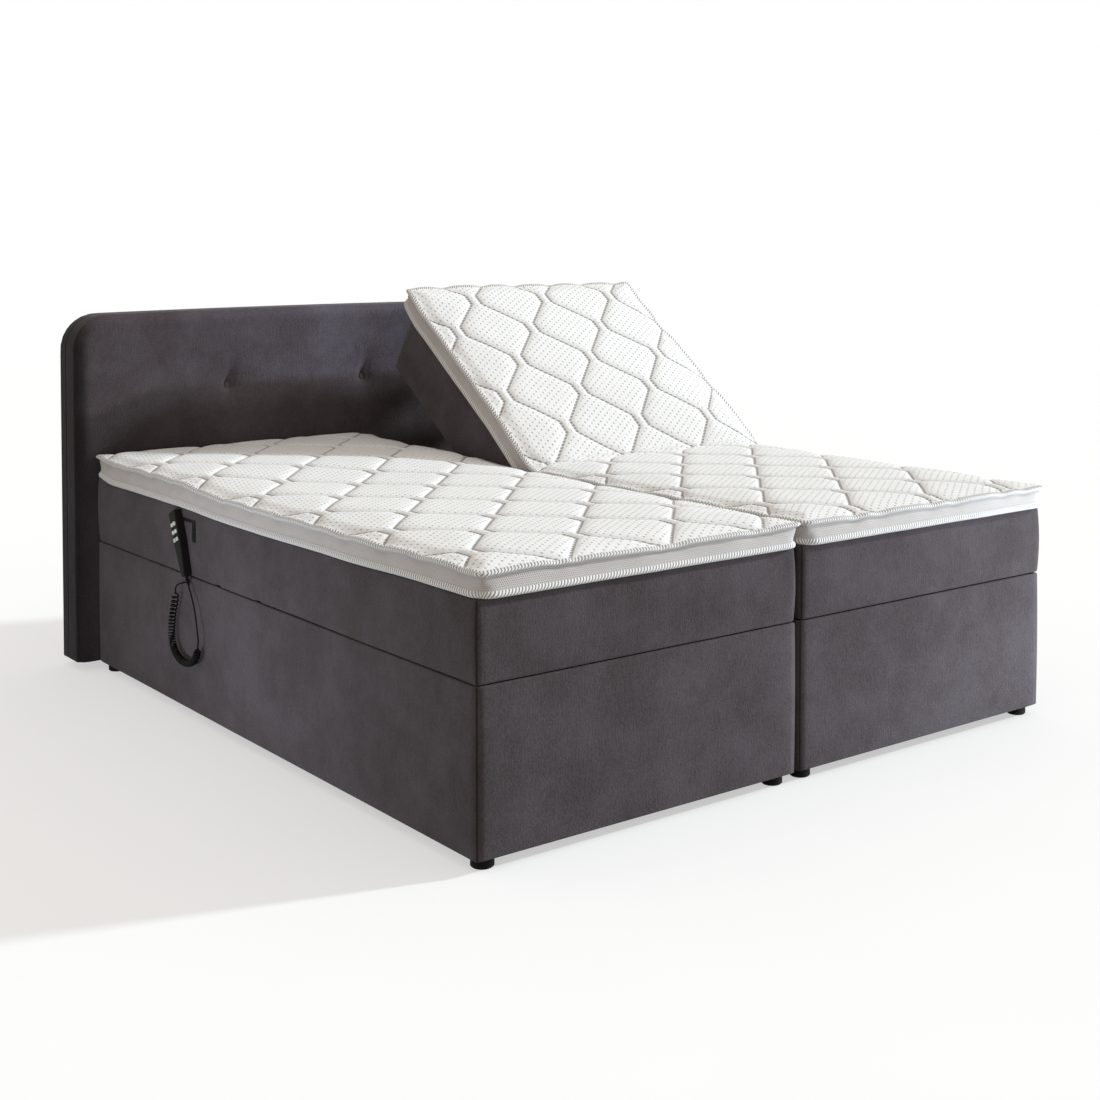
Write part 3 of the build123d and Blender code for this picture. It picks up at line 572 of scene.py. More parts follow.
class Finish:
    """A node tree, its shader and what feeds it: a procedural material, or the world."""

    def __init__(self, owner, shader, **constants):
        owner.use_nodes = True
        self.owner = owner
        self.tree = owner.node_tree
        self.shader = self.tree.nodes[shader]
        for socket, value in constants.items():
            self.shader.inputs[socket.replace("_", " ")].default_value = value

    def node(self, kind, settings=None, values=(), output=0):
        """Add a node, set it up, fill or link its sockets, and give one output."""
        made = self.tree.nodes.new(kind)
        for name, value in (settings or {}).items():
            setattr(made, name, value)
        pairs = values.items() if isinstance(values, dict) else enumerate(values)
        for key, value in pairs:
            if isinstance(value, Signal):
                self.tree.links.new(value.socket, made.inputs[key])
            else:
                made.inputs[key].default_value = value
        return Signal(self, made.outputs[output])

    def feed(self, socket, value):
        """Link a signal to the shader."""
        self.tree.links.new(value.socket, self.shader.inputs[socket])

    def shown(self):
        """1 for rays from the camera, in reflections and through clear plastic, else 0."""
        rays = ("Is Camera Ray", "Is Glossy Ray", "Is Transmission Ray")
        camera, glossy, through = [self.node("ShaderNodeLightPath", output=ray) for ray in rays]
        return camera.math("MAXIMUM", glossy).math("MAXIMUM", through)

    def place(self):
        """Object coordinates."""
        return self.node("ShaderNodeTexCoord", output="Object")

    def pair(self, uv_map):
        """The two numbers of one of the piece's own UV maps."""
        uv = self.node("ShaderNodeUVMap", {"uv_map": uv_map})
        first = self.node("ShaderNodeSeparateXYZ", values=[uv], output=0)
        second = self.node("ShaderNodeSeparateXYZ", values=[uv], output=1)
        return first, second

    def noise(self, place, scale, detail=3.0, rough=0.5):
        """Noise from 0 to 1."""
        values = {"Vector": place, "Scale": scale, "Detail": detail, "Roughness": rough}
        return self.node("ShaderNodeTexNoise", values=values)

    def mix(self, share, first, second):
        """A colour between two."""
        settings = {"data_type": "RGBA"}
        first = first if isinstance(first, Signal) else (*first, 1.0)
        second = second if isinstance(second, Signal) else (*second, 1.0)
        return self.node("ShaderNodeMix", settings, {0: share, 6: first, 7: second}, output=2)

    def stretch(self, place, scale):
        """Coordinates squeezed by a scale along each axis."""
        return self.node("ShaderNodeMapping", values={"Vector": place, "Scale": scale})

    def bump(self, height, distance, strength=1.0):
        """Raise the surface by a height."""
        values = {"Height": height, "Distance": distance, "Strength": strength}
        self.feed("Normal", self.node("ShaderNodeBump", values=values))


def material_finish(name, **constants):
    """A new material with its node tree."""
    return Finish(bpy.data.materials.new(name), "Principled BSDF", **constants)


def tint(colour, factors):
    """A colour with each channel made lighter or darker by its own factor."""
    return tuple(min(1.0, channel * factor) for channel, factor in zip(colour, factors))


def shade(colour, factor):
    """A colour made lighter or darker."""
    return tint(colour, (factor, factor, factor))


# Finishes
def velour_finish():
    """Short-pile upholstery: nap patches, faint upright streaks, a soft sheen, painted light and shade on the
    headboard, and sewn corners.
    """
    base = tuple(colours().velour)
    dark = tint(base, PILE_DARK)
    pale = tint(base, PILE_PALE)
    finish = material_finish("velour", Sheen_Weight=0.10, Sheen_Roughness=0.5, Specular_IOR_Level=0.03)
    place = finish.place()
    upright = finish.stretch(place, (260.0, 260.0, 26.0))
    patches = finish.noise(place, scale=6.0, detail=5.0, rough=0.68).ramp(0.32, 0.68)
    streaks = finish.noise(upright, scale=1.0, detail=4.0, rough=0.7).ramp(0.28, 0.72)
    flecks = finish.noise(place, scale=210.0, detail=4.0, rough=0.75).ramp(0.36, 0.66)
    fibre = finish.noise(place, scale=750.0, detail=2.0, rough=0.6)
    share = (patches * 0.46 + streaks * 0.22 + flecks * 0.34).clip()
    cloth = finish.mix(share, dark, pale)
    cloth = finish.mix(fibre.ramp(0.45, 0.75) * 0.22, cloth, shade(base, PILE_TIP))
    # Painted light and shade: the second number of the cloth map lightens the cloth above 0 and darkens it
    # below
    near, painted_light = finish.pair("cloth")
    painted_lit_cloth = finish.mix(share, tint(dark, PILE_LIT), tint(pale, PILE_LIT))
    painted_shade_cloth = finish.mix(share, shade(dark, PAINTED_SHADE_TONE), shade(pale, PAINTED_SHADE_TONE))
    cloth = finish.mix(painted_light.clip(), cloth, painted_lit_cloth)
    cloth = finish.mix((0.0 - painted_light).clip(), cloth, painted_shade_cloth)
    seam = near.ramp(SEAM_REACH - SEAM_EDGE[0], SEAM_REACH - SEAM_EDGE[1])
    finish.feed("Base Color", finish.mix(seam * 0.72, cloth, shade(base, SEAM_TONE)))
    finish.feed("Roughness", 0.88 + fibre * 0.10)
    finish.bump(fibre * 0.6 + flecks * 0.7 + streaks * 0.25 - seam * 1.6, distance=0.0013, strength=0.55)
    return finish.owner


def stitch_distance(across, along):
    """How far a point of the topper is from the nearest stitch line, in metres."""
    pong = along.math("PINGPONG", QUILT_PERIOD / 2)
    wave = ((1.0 - pong * (4.0 / QUILT_PERIOD)) * QUILT_FLATNESS).clip(-1.0, 1.0) * QUILT_SWING
    even = (across - wave).math("WRAP", QUILT_SPACING, -QUILT_SPACING)
    odd = (across - QUILT_SPACING + wave).math("WRAP", QUILT_SPACING, -QUILT_SPACING)
    return abs(even).math("MINIMUM", abs(odd))


def dot_distance(across, along):
    """How far a point of the topper is from the nearest knitted dot, in metres."""
    (step_x, step_y), (row_x, row_y) = DOT_STEP, DOT_NEXT_ROW
    area = step_x * row_y - step_y * row_x
    steps = (across * (row_y / area) - along * (row_x / area)).math("FRACT") - 0.5
    rows = (along * (step_x / area) - across * (step_y / area)).math("FRACT") - 0.5
    dot_x = steps * step_x + rows * row_x
    dot_y = steps * step_y + rows * row_y
    return (dot_x * dot_x + dot_y * dot_y).math("SQRT")


def quilt_finish():
    """White double knit: sunk dots in slanted rows, and the stitch lines, with painted shade in the dots, the
    valleys and beside the thread.
    """
    base = tuple(colours().quilt)
    finish = material_finish("quilt_knit", Sheen_Weight=0.10, Sheen_Roughness=0.5, Specular_IOR_Level=0.2)
    across, along = finish.pair("flat")
    distance = stitch_distance(across, along)
    place = finish.place()
    uneven = finish.noise(place, scale=45.0, detail=2.0).ramp(0.25, 0.60)
    knit = finish.noise(place, scale=700.0, detail=2.0)
    soft = finish.noise(place, scale=9.0)
    dots = (1.0 - dot_distance(across, along).ramp(*DOT_EDGE)) * distance.ramp(*DOT_CLEARANCE)
    dots = dots * (uneven * 0.6 + 0.4)
    stitches = abs((along / STITCH_LENGTH).math("FRACT") - 0.5).ramp(0.10, 0.30)
    thread_and_shade = (1.0 - distance.ramp(*THREAD_AND_SHADE_EDGE)) * (stitches * 0.70 + 0.30)
    valley = 1.0 - distance.ramp(0.0, VALLEY_REACH)
    cloth = finish.mix(soft, shade(base, 0.97), shade(base, 1.02))
    # Painted shade in the sunk dots
    cloth = finish.mix(dots * 0.66, cloth, DOT_SHADE_COLOUR)
    # Painted shade along the stitched valleys
    cloth = finish.mix(valley * 0.18, cloth, VALLEY_SHADE_COLOUR)
    # Thread colour, widened into painted shade beside the stitch lines
    finish.feed("Base Color", finish.mix(thread_and_shade * 0.80, cloth, THREAD_AND_SHADE_COLOUR))
    finish.feed("Roughness", 0.80 + knit * 0.15)
    finish.bump(knit * 0.10 - dots * 1.0 - thread_and_shade * 0.8, distance=0.0030, strength=0.8)
    return finish.owner


def border_finish():
    """Greige spacer mesh with rows of small holes."""
    base = tuple(colours().border)
    finish = material_finish("border_mesh", Specular_IOR_Level=0.2, Sheen_Weight=0.1)
    across, along = finish.pair("flat")
    spacing, row_spacing = HOLE_SPACING
    row = (along / row_spacing).math("FLOOR")
    hole_x = (across / spacing + (row * 0.5).math("FRACT")).math("FRACT") - 0.5
    hole_y = (along / row_spacing).math("FRACT") - 0.5
    hole = 1.0 - (hole_x * hole_x + hole_y * hole_y).math("SQRT").ramp(0.16, 0.40)
    tone = finish.noise(finish.place(), scale=14.0)
    cloth = finish.mix(tone, shade(base, 0.88), shade(base, 1.12))
    # Painted shade in the mesh's holes
    finish.feed("Base Color", finish.mix(hole * 0.5, cloth, shade(base, 0.45)))
    finish.feed("Roughness", 0.82 + tone * 0.1)
    finish.bump(1.0 - hole, distance=0.0012, strength=0.7)
    return finish.owner


def tape_finish():
    """Overlocked edge tape with slanted dark and pale threads."""
    base = tuple(colours().tape)
    finish = material_finish("edge_tape", Specular_IOR_Level=0.25)
    across, along = finish.pair("flat")
    rib = abs(((across - along * TAPE_SLANT) / TAPE_RIB).math("FRACT") - 0.5).ramp(0.12, 0.30)
    tone = finish.noise(finish.place(), scale=60.0, detail=2.0)
    cloth = finish.mix(rib, shade(base, 0.34), shade(base, 1.16))
    finish.feed("Base Color", finish.mix(tone * 0.25, cloth, shade(base, 0.75)))
    finish.feed("Roughness", 0.72 + tone * 0.15)
    finish.bump(rib, distance=0.0015, strength=0.7)
    return finish.owner


def wood_finish(name, base, grain):
    """Sawn board or chipboard."""
    finish = material_finish(name, Specular_IOR_Level=0.3)
    place = finish.place()
    rings = finish.noise(finish.stretch(place, grain), scale=1.0, detail=5.0, rough=0.6)
    chips = finish.noise(place, scale=130.0, rough=0.7)
    share = (rings * 0.7 + chips * 0.4).ramp(0.3, 0.8)
    finish.feed("Base Color", finish.mix(share, shade(base, 0.66), shade(base, 1.25)))
    finish.feed("Roughness", 0.62 + chips * 0.25)
    finish.bump(chips * 0.6 + rings * 0.5, distance=0.0008, strength=0.5)
    return finish.owner


def moulded_finish(name, base, rough, metal=0.0, speckle=600.0):
    """Moulded plastic, rubber, powder coat or plated steel with a fine surface texture."""
    finish = material_finish(name, Metallic=metal, Specular_IOR_Level=0.5 if metal else 0.05)
    place = finish.place()
    fine = finish.noise(place, scale=speckle, detail=2.0)
    worn = finish.noise(place, scale=18.0, detail=4.0, rough=0.6)
    finish.feed("Base Color", finish.mix(worn.ramp(0.3, 0.75), shade(base, 0.85), shade(base, 1.22)))
    finish.feed("Roughness", rough + (fine - 0.5) * 0.16 + (worn - 0.5) * 0.12)
    finish.bump(fine, distance=0.0004, strength=0.5)
    return finish.owner


def dust_finish():
    """Thin bonded cloth under the boxes."""
    finish = material_finish("dust_cloth", Specular_IOR_Level=0.15)
    web = finish.noise(finish.place(), scale=240.0, detail=4.0, rough=0.7)
    finish.feed("Base Color", finish.mix(web, DUST_DARK, DUST_PALE))
    finish.feed("Roughness", 0.85 + web * 0.1)
    finish.bump(web, distance=0.0006, strength=0.6)
    return finish.owner


FINISHES = {}


def finishes():
    """Every finish by name, made on the first call."""
    if not FINISHES:
        board, timber, steel, plastic, keys = [
            tuple(getattr(colours(), name)) for name in ("board", "timber", "steel", "plastic", "keys")
        ]
        FINISHES.update(
            velour=velour_finish(),
            quilt=quilt_finish(),
            border=border_finish(),
            tape=tape_finish(),
            board=wood_finish("chipboard", board, grain=(9.0, 9.0, 9.0)),
            timber=wood_finish("softwood", timber, grain=(90.0, 3.0, 90.0)),
            steel=moulded_finish("powder_coat", steel, rough=0.45, speckle=900.0),
            zinc=moulded_finish("zinc_plate", ZINC, rough=0.32, metal=1.0, speckle=300.0),
            plastic=moulded_finish("black_plastic", plastic, rough=0.58),
            rubber=moulded_finish("cord_rubber", shade(plastic, RUBBER_TONE), rough=0.55),
            keys=moulded_finish("key_plastic", keys, rough=0.38, speckle=400.0),
            dust=dust_finish(),
        )
    return FINISHES


# Mesh helpers
def grid_block(width, length, levels, step):
    """A closed block on Z = 0, about X = 0 and from Y = 0, with loops at the levels and a grid of cuts."""
    bm = bmesh.new()
    bmesh.ops.create_cube(bm, size=1.0)
    bmesh.ops.translate(bm, verts=bm.verts, vec=(0.0, 0.5, 0.5))
    bmesh.ops.scale(bm, verts=bm.verts, vec=(width, length, levels[-1]))
    for level in levels[1:-1]:
        whole = bm.verts[:] + bm.edges[:] + bm.faces[:]
        bmesh.ops.bisect_plane(bm, geom=whole, plane_co=(0.0, 0.0, level), plane_no=(0.0, 0.0, 1.0))
    for axis, size in ((0, width), (1, length)):
        along = [e for e in bm.edges if abs(e.verts[0].co[axis] - e.verts[1].co[axis]) > size / 2]
        cuts = max(1, round(size / step)) - 1
        bmesh.ops.subdivide_edges(bm, edges=along, cuts=cuts, use_grid_fill=True)
    bmesh.ops.recalc_face_normals(bm, faces=bm.faces)
    return bm


def points_of(bm):
    """All vertex places as an array."""
    return np.array([v.co[:] for v in bm.verts])


def set_points(bm, points):
    """Move all vertices."""
    for vertex, point in zip(bm.verts, points):
        vertex.co = point


def shade_smooth(bm):
    """Shade all faces smooth."""
    for face in bm.faces:
        face.smooth = True


def smooth(value, low, high):
    """0 below low, 1 above high, smooth between."""
    share = np.clip((value - low) / (high - low), 0.0, 1.0)
    return share * share * (3.0 - 2.0 * share)


def hump(distance, reach):
    """1 at no distance, falling off smoothly with a reach."""
    return np.exp(-((distance / reach) ** 2))


def round_plan(points, width, length, corner, far_only=False):
    """Round a block's plan corners: the points, how far each is inside the edge, and which way is out."""
    points = points.copy()
    middle = np.array([0.0, length / 2])
    half = np.array([width / 2 - corner, length / 2 - corner])
    plan = points[:, :2] - middle
    over = np.maximum(np.abs(plan) - half, 0.0)
    if far_only:
        over[plan[:, 1] < 0, 1] = 0.0
    reach = np.hypot(over[:, 0], over[:, 1])
    both = (over > NO_REACH).all(axis=1)
    squeeze = np.ones(len(points))
    squeeze[both] = over[both].max(axis=1) / reach[both]
    sign = np.where(plan < 0, -1.0, 1.0)
    kept = np.abs(plan) - over
    points[:, :2] = sign * (kept + over * squeeze[:, None]) + middle
    reach = reach * squeeze
    inside = np.where(reach > NO_REACH, corner - reach, corner + (half - kept).min(axis=1))
    out = sign * over
    out /= np.maximum(np.linalg.norm(out, axis=1), NO_REACH)[:, None]
    return points, inside, out


def finish_mesh(name, bm, materials, close_ends=False):
    """Turn a bmesh into an object, and close its cut ends with flat faces where asked."""
    if close_ends:
        open_edges = [e for e in bm.edges if e.is_boundary]
        for edge in open_edges:
            edge.smooth = False
        filled = bmesh.ops.holes_fill(bm, edges=open_edges, sides=0)["faces"]
        for face in filled:
            face.smooth = False
    mesh = bpy.data.meshes.new(name)
    bm.to_mesh(mesh)
    bm.free()
    for material in materials:
        mesh.materials.append(material)
    made = bpy.data.objects.new(name, mesh)
    bpy.context.scene.collection.objects.link(made)
    return made


def rounded_profile(height, top, bottom, puff):
    """Heights of the loops of a soft side, and how far each stands out."""
    turns = [math.radians(a) for a in EDGE_TURNS]
    low = [(bottom * (1 - math.cos(t)), -bottom * (1 - math.sin(t))) for t in turns]
    high = [(height - top * (1 - math.cos(t)), -top * (1 - math.sin(t))) for t in turns]
    middle = [(height * share, puff * math.sin(math.pi * share)) for share in SIDE_LOOPS]
    return sorted(low + middle + high)


def profile_out(points, profile):
    """How far points stand out by a profile of (height, distance)."""
    return np.interp(points[:, 2], [p[0] for p in profile], [p[1] for p in profile])


def stand_out(points, out, edge, distance):
    """Push a block's edge points out."""
    points[edge, :2] += out[edge] * distance[edge, None]
    return points


def wrinkle(points, seed, size, height):
    """A smooth made-up unevenness of about a height either way."""
    rng = np.random.default_rng(seed)
    total = np.zeros(len(points))
    for scale in WAVE_SCALES:
        for _ in range(WAVES_PER_SCALE):
            direction = rng.normal(size=3)
            direction /= np.linalg.norm(direction)
            turns = points @ direction * (2 * math.pi * scale / size)
            total += np.sin(turns + rng.uniform(0, WAVE_TURN)) / scale
    return total / WAVE_SUM * height


def flat_coordinates(bm, flat, shift=(0.0, 0.0)):
    """Write each face's flat coordinates: across and along on top, round and up on the sides."""
    layer = bm.loops.layers.uv.new("flat")
    for face in bm.faces:
        spread = np.ptp([flat[v.index] for v in face.verts], axis=0)
        if spread[2] < NEARLY:
            axes = (0, 1)
        elif spread[0] > spread[1]:
            axes = (0, 2)
        else:
            axes = (1, 2)
        for loop in face.loops:
            point = flat[loop.vert.index]
            loop[layer].uv = (point[axes[0]] + shift[0], point[axes[1]] + shift[1])


def seam_coordinates(bm, flat):
    """Write how near a side's faces are to the sewn corners: SEAM_REACH at one, 0 from that far away."""
    layer = bm.loops.layers.uv.new("cloth")
    for face in bm.faces:
        spread = np.ptp([flat[v.index] for v in face.verts], axis=0)
        if spread[2] < NEARLY:
            continue
        for loop in face.loops:
            x, y, _ = flat[loop.vert.index]
            gap = HALF_WIDTH / 2 - abs(x) if spread[0] > spread[1] else min(y, BOX_LENGTH - y)
            loop[layer].uv = (max(0.0, SEAM_REACH - gap), 0.0)


# How the soft layers bend, settle and are cut
def at(side, along, height):
    """A point of the bed from a half, a distance from the foot end and a height."""
    return (HALF_X[side], FOOT_END + along, height)


def to_bed(points, side):
    """Move points of a half, about its middle and from the foot end, to their place in the bed."""
    points[:, 0] += HALF_X[side]
    points[:, 1] += FOOT_END
    return points


def bend_centre(angle):
    """Centre of the raised half's bend: its distance from the foot end and its height."""
    reach = (MATTRESS_TOP - MATTRESS_BOTTOM) + BEND_RADIUS
    along = HEAD_HINGE - (MATTRESS_BOTTOM - HINGE_HEIGHT + reach) * math.tan(angle / 2)
    return along, MATTRESS_BOTTOM + reach


def bend_up(points, angle, slide):
    """Bend a flat layer, with Y from the foot end and Z from the floor, up to the raised head section."""
    if angle == 0.0:
        return points
    centre_y, centre_z = bend_centre(angle)
    bend_length = HEAD_HINGE - centre_y + (centre_z - HINGE_HEIGHT) * math.tan(angle / 2) - slide
    past = points[:, 1] - centre_y
    turn = np.clip(past / bend_length, 0.0, 1.0) * angle
    run = np.maximum(past - bend_length, 0.0)
    radius = centre_z - points[:, 2]
    bent_y = centre_y + radius * np.sin(turn) + run * math.cos(angle)
    bent_z = centre_z - radius * np.cos(turn) + run * math.sin(angle)
    bent = points.copy()
    bent[:, 1] = np.where(past > 0, bent_y, points[:, 1])
    bent[:, 2] = np.where(past > 0, bent_z, points[:, 2])
    return bent


def bent_places(side, distances, level, slide=0.0):
    """Places on a half at distances from the foot end and a height, once its head is at rest."""
    flat = np.array([[0.0, along, level] for along in distances])
    return [at(side, along, height) for _, along, height in bend_up(flat, HEAD_REST[side], slide)]


def fold_places(side, reach, level, slide=0.0):
    """Where the raised half's fold starts and ends, around the start of its bend at a height."""
    start, _ = bend_centre(HEAD_REST[side])
    return bent_places(side, [start + distance for distance in reach], level, slide)


def settle(side, along, share):
    """How far a soft layer's edge has risen along the bed: share is 0 at its bottom, 1 at its lip."""
    past = smooth(along, *LIP_RISE_ZONE)
    middle = smooth(along, *LOW_EDGE_ZONE) * (1.0 - past)
    end = smooth(along, *END_RISE_ZONE)
    low = LOW_END_RISE * end + LOW_EDGE_RISE[side] * past - LOW_EDGE_FALL * middle
    high = END_RISE * end + LIP_RISE * past
    return low + (high - low) * share


def draw_in(points, flat, side, draw, gap):
    """Draw a layer's inner edge and head end in, clear of the other half and the headboard."""
    inner = 1.0 if side == "left" else -1.0
    near_middle = smooth(flat[:, 0] * inner, HALF_WIDTH / 2 - DRAW_REACH, HALF_WIDTH / 2)
    near_head = smooth(flat[:, 1], BOX_LENGTH - DRAW_REACH, BOX_LENGTH)
    points[:, 0] -= inner * draw[0] * near_middle
    points[:, 1] -= draw[1] * near_head
    points[:, 0] = inner * np.minimum(points[:, 0] * inner, abs(HALF_X[side]) - gap)
    points[:, 1] = np.minimum(points[:, 1], BOX_LENGTH - gap)
    return points


def keep_between(bm, flat, low, high):
    """A copy of a block with only the faces whose flat middle is between two distances from the foot end."""
    part = bm.copy()
    part.verts.ensure_lookup_table()
    gone = []
    for face in part.faces:
        middle = sum(flat[v.index][1] for v in face.verts) / len(face.verts)
        if not low <= middle < high:
            gone.append(face)
    bmesh.ops.delete(part, geom=gone, context="FACES")
    return part


def cut_place(rows, along):
    """Just before the mesh row nearest to a distance from the foot end, or past the last row."""
    row = rows[np.abs(rows - along).argmin()]
    return row + CUT_MARGIN if row == rows[-1] else row - CUT_MARGIN


def zone_pieces(name, side, bm, flat, ends, materials):
    """Cut a soft layer into named pieces at distances from the foot end."""
    rows = np.unique(np.round(flat[:, 1], 6))
    pieces = {}
    for part, (low, high) in ends.items():
        piece = keep_between(bm, flat, cut_place(rows, low), cut_place(rows, high))
        pieces[part] = finish_mesh(f"{side}_{name}_{part}", piece, materials, close_ends=True)
    bm.free()
    return pieces


def bend_with_legs(pieces, side):
    """Bake the calf and thigh pieces of a layer in place; where the deck bends is worked out but not used."""
    start, end = [at(side, along, MATTRESS_TOP) for along in CALF_BEND]
    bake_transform(pieces["calf"])
    start, end = [at(side, along, MATTRESS_TOP) for along in THIGH_BEND[side]]
    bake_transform(pieces["thigh"])


# Box covers
def build_box_cover(side):
    """The upholstered sleeve of one box, folded in over the walls at top and bottom."""
    size = sizes()
    height = BOX_TOP - BOX_BOTTOM
    profile = rounded_profile(height, size.cover_round, size.cover_round, COVER_PUFF)
    bm = grid_block(HALF_WIDTH, BOX_LENGTH, [p[0] for p in profile], COVER_STEP)
    flat = points_of(bm)
    points, inside, out = round_plan(flat, HALF_WIDTH, BOX_LENGTH, size.cover_corner)
    edge = inside < NEARLY
    points = stand_out(points, out, edge, profile_out(points, profile))
    points = stand_out(points, out, edge, wrinkle(points + HALF_X[side], *COVER_SWELL))
    points = to_bed(points, side)
    points[:, 2] += BOX_BOTTOM
    hollow = []
    for face in bm.faces:
        depth = min(inside[v.index] for v in face.verts)
        levels = [flat[v.index][2] for v in face.verts]
        if max(levels) - min(levels) < NEARLY and depth > COVER_TURN_IN:
            hollow.append(face)
    seam_coordinates(bm, flat)
    set_points(bm, points)
    bmesh.ops.delete(bm, geom=hollow, context="FACES")
    shade_smooth(bm)
    cover = finish_mesh(f"{side}_cover", bm, [finishes()["velour"]])
    wall = cover.modifiers.new("cloth", "SOLIDIFY")
    wall.thickness = COVER_CLOTH
    wall.offset = -1.0
    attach(cover, "root")
    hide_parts(f"{side}_box_cover")


# Mattresses
def pressed_in(points):
    """How far the left mattress's side is held in, flat behind the handset and its holder."""
    along = points[:, 1] + FOOT_END
    level = points[:, 2] + MATTRESS_BOTTOM
    held = np.zeros(len(points))
    for node in ("handset_hook", "handset_back"):
        low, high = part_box(node)
        beside = np.maximum(low[1] - along, along - high[1])
        beyond = np.maximum(low[2] - level, level - high[2])
        held = np.maximum(held, 1.0 - smooth(np.maximum(beside, beyond), *HANDSET_PRESS))
    return np.maximum(-HALF_WIDTH / 2 - points[:, 0], 0.0) * held


def mattress_points(side, flat, profile):
    """A flat mattress's points: rounded, swollen, creased where it folds, and settled."""
    height = MATTRESS_TOP - MATTRESS_BOTTOM
    points, inside, out = round_plan(flat, HALF_WIDTH, BOX_LENGTH, sizes().mattress_corner)
    edge = inside < NEARLY
    points = stand_out(points, out, edge, profile_out(points, profile))
    swell = wrinkle(points + HALF_X[side], *MATTRESS_SWELL)
    low_side = smooth(CREASE_HEIGHT - points[:, 2], 0.0, CREASE_HEIGHT)
    for crease in CREASES:
        swell -= CREASE_DEPTH * hump(points[:, 1] - crease, CREASE_WIDTH) * low_side
    points = stand_out(points, out, edge, swell)
    if side == "left":
        points[:, 0] += pressed_in(points)
    points[:, 2] += settle(side, flat[:, 1], 0.0) * np.clip(flat[:, 2] / height, 0.0, 1.0) ** 2
    rim = (1.0 - smooth(flat[:, 2], 0.0, RIM_HEIGHT)) * (1.0 - smooth(inside, *RIM_REACH))
    points[:, 2] -= RIM_FALL * rim
    return draw_in(points, flat, side, MATTRESS_DRAW, MATTRESS_MIDDLE_GAP)


def build_mattress(side):
    """One upholstered mattress, bent where the head is raised and cut where the deck folds."""
    height = MATTRESS_TOP - MATTRESS_BOTTOM
    profile = rounded_profile(height, sizes().mattress_round, sizes().mattress_round, MATTRESS_PUFF)
    bm = grid_block(HALF_WIDTH, BOX_LENGTH, [p[0] for p in profile], MATTRESS_STEP)
    flat = points_of(bm)
    points = mattress_points(side, flat, profile)
    flat_coordinates(bm, flat)
    seam_coordinates(bm, flat)
    shade_smooth(bm)
    points[:, 2] += MATTRESS_BOTTOM
    set_points(bm, to_bed(bend_up(points, HEAD_REST[side], 0.0), side))
    start = THIGH_BEND[side][0]
    ends = {"calf": (0.0, CALF_BEND[0]), "thigh": (CALF_BEND[0], start), "head": (start, BOX_LENGTH)}
    pieces = zone_pieces("mattress_pad", side, bm, flat, ends, [finishes()["velour"]])
    bend_with_legs(pieces, side)
    if side == "left":
        fold = bent_places(side, LEFT_FOLD, MATTRESS_TOP)
    else:
        fold = fold_places(side, MATTRESS_FOLD, (MATTRESS_BOTTOM + MATTRESS_TOP) / 2)
    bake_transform(pieces["head"])
    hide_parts(f"{side}_mattress_calf")
    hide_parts(f"{side}_mattress_thigh")
    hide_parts(f"{side}_mattress_head", f"{side}_mattress_middle")


# Toppers
def stitch_lines(across, along):
    """How far points are from the nearest stitch line, in metres."""
    pong = np.abs(np.mod(along + QUILT_PERIOD / 2, QUILT_PERIOD) - QUILT_PERIOD / 2)
    wave = np.clip((1.0 - pong * 4.0 / QUILT_PERIOD) * QUILT_FLATNESS, -1.0, 1.0) * QUILT_SWING
    double = 2 * QUILT_SPACING
    even = np.mod(across - wave + QUILT_SPACING, double) - QUILT_SPACING
    odd = np.mod(across + wave, double) - QUILT_SPACING
    return np.minimum(np.abs(even), np.abs(odd))


def topper_profile(lip):
    """Heights of the loops round a topper's edge and how far each stands out: tape, border and tape."""
    high_fall, high_out = HIGH_BORDER
    border = [LOW_BORDER, (0.5 * lip, MIDDLE_BORDER_OUT), (lip - high_fall, high_out)]
    return LOW_TAPE + border + [(lip - fall, distance) for fall, distance in HIGH_TAPE]


def fold_ripples(flat):
    """Small ripples across the raised topper where it folds."""
    across, along = flat[:, 0], flat[:, 1]
    bowed = along + RIPPLE_BOW * np.sin(across * RIPPLE_BOWS)
    ripple = np.sin(bowed * (2 * math.pi / RIPPLE_LENGTH)) * (RIPPLE_EVEN + wrinkle(flat, *RIPPLE_UNEVEN))
    return FOLD_RIPPLE * hump(along - FOLD_MIDDLE, FOLD_REACH) * ripple


def quilt_lift(side, flat, inside, stitch):
    """How far a topper's top stands over its lip: the crown, the rolled edge, the quilting and ripples."""
    lift = sizes().topper_crown * smooth(inside, 0.0, CROWN_REACH)
    lift += EDGE_ROLL * smooth(inside, *EDGE_ROLL_REACH)
    valley = sum(share * hump(stitch, reach) for share, reach in QUILT_VALLEYS)
    lift -= sizes().quilt_depth * valley * smooth(inside, *QUILT_EDGE)
    if HEAD_REST[side]:
        lift += fold_ripples(flat) * smooth(inside, 0.0, RIPPLE_EDGE)
    return lift


def soften_topper(side, points, flat, inside, out, stitch):
    """Tug a topper's edge in at the stitch lines, let its border sway, and let it sag and settle."""
    lip = sizes().topper_lip
    edge = inside < NEARLY
    upper = smooth(flat[:, 2], 0.5 * lip, lip - UPPER_EDGE_FALL)
    tug = TUG * hump(stitch, TUG_REACH) * upper * smooth(TUG_REACH - inside, 0.0, TUG_REACH)
    points[:, 2] -= tug
    points = stand_out(points, out, edge, -tug)
    place = points + np.array([HALF_X[side], 0.0, 0.0])
    plan = place * np.array([1.0, 1.0, 0.0])
    points = stand_out(points, out, edge, wrinkle(place * np.array(SWAY_SQUEEZE), *TOPPER_SWAY))
    points[:, 2] += wrinkle(plan, *TOPPER_WAVE) * smooth(WAVE_REACH - inside, 0.0, WAVE_REACH) * upper
    points[:, 2] += wrinkle(plan + SAG_SHIFT, *TOPPER_SAG) * smooth(points[:, 2], *SAG_HEIGHT)
    points[:, 2] += settle(side, flat[:, 1], np.clip(flat[:, 2] / lip, 0.0, 1.0))
    return points


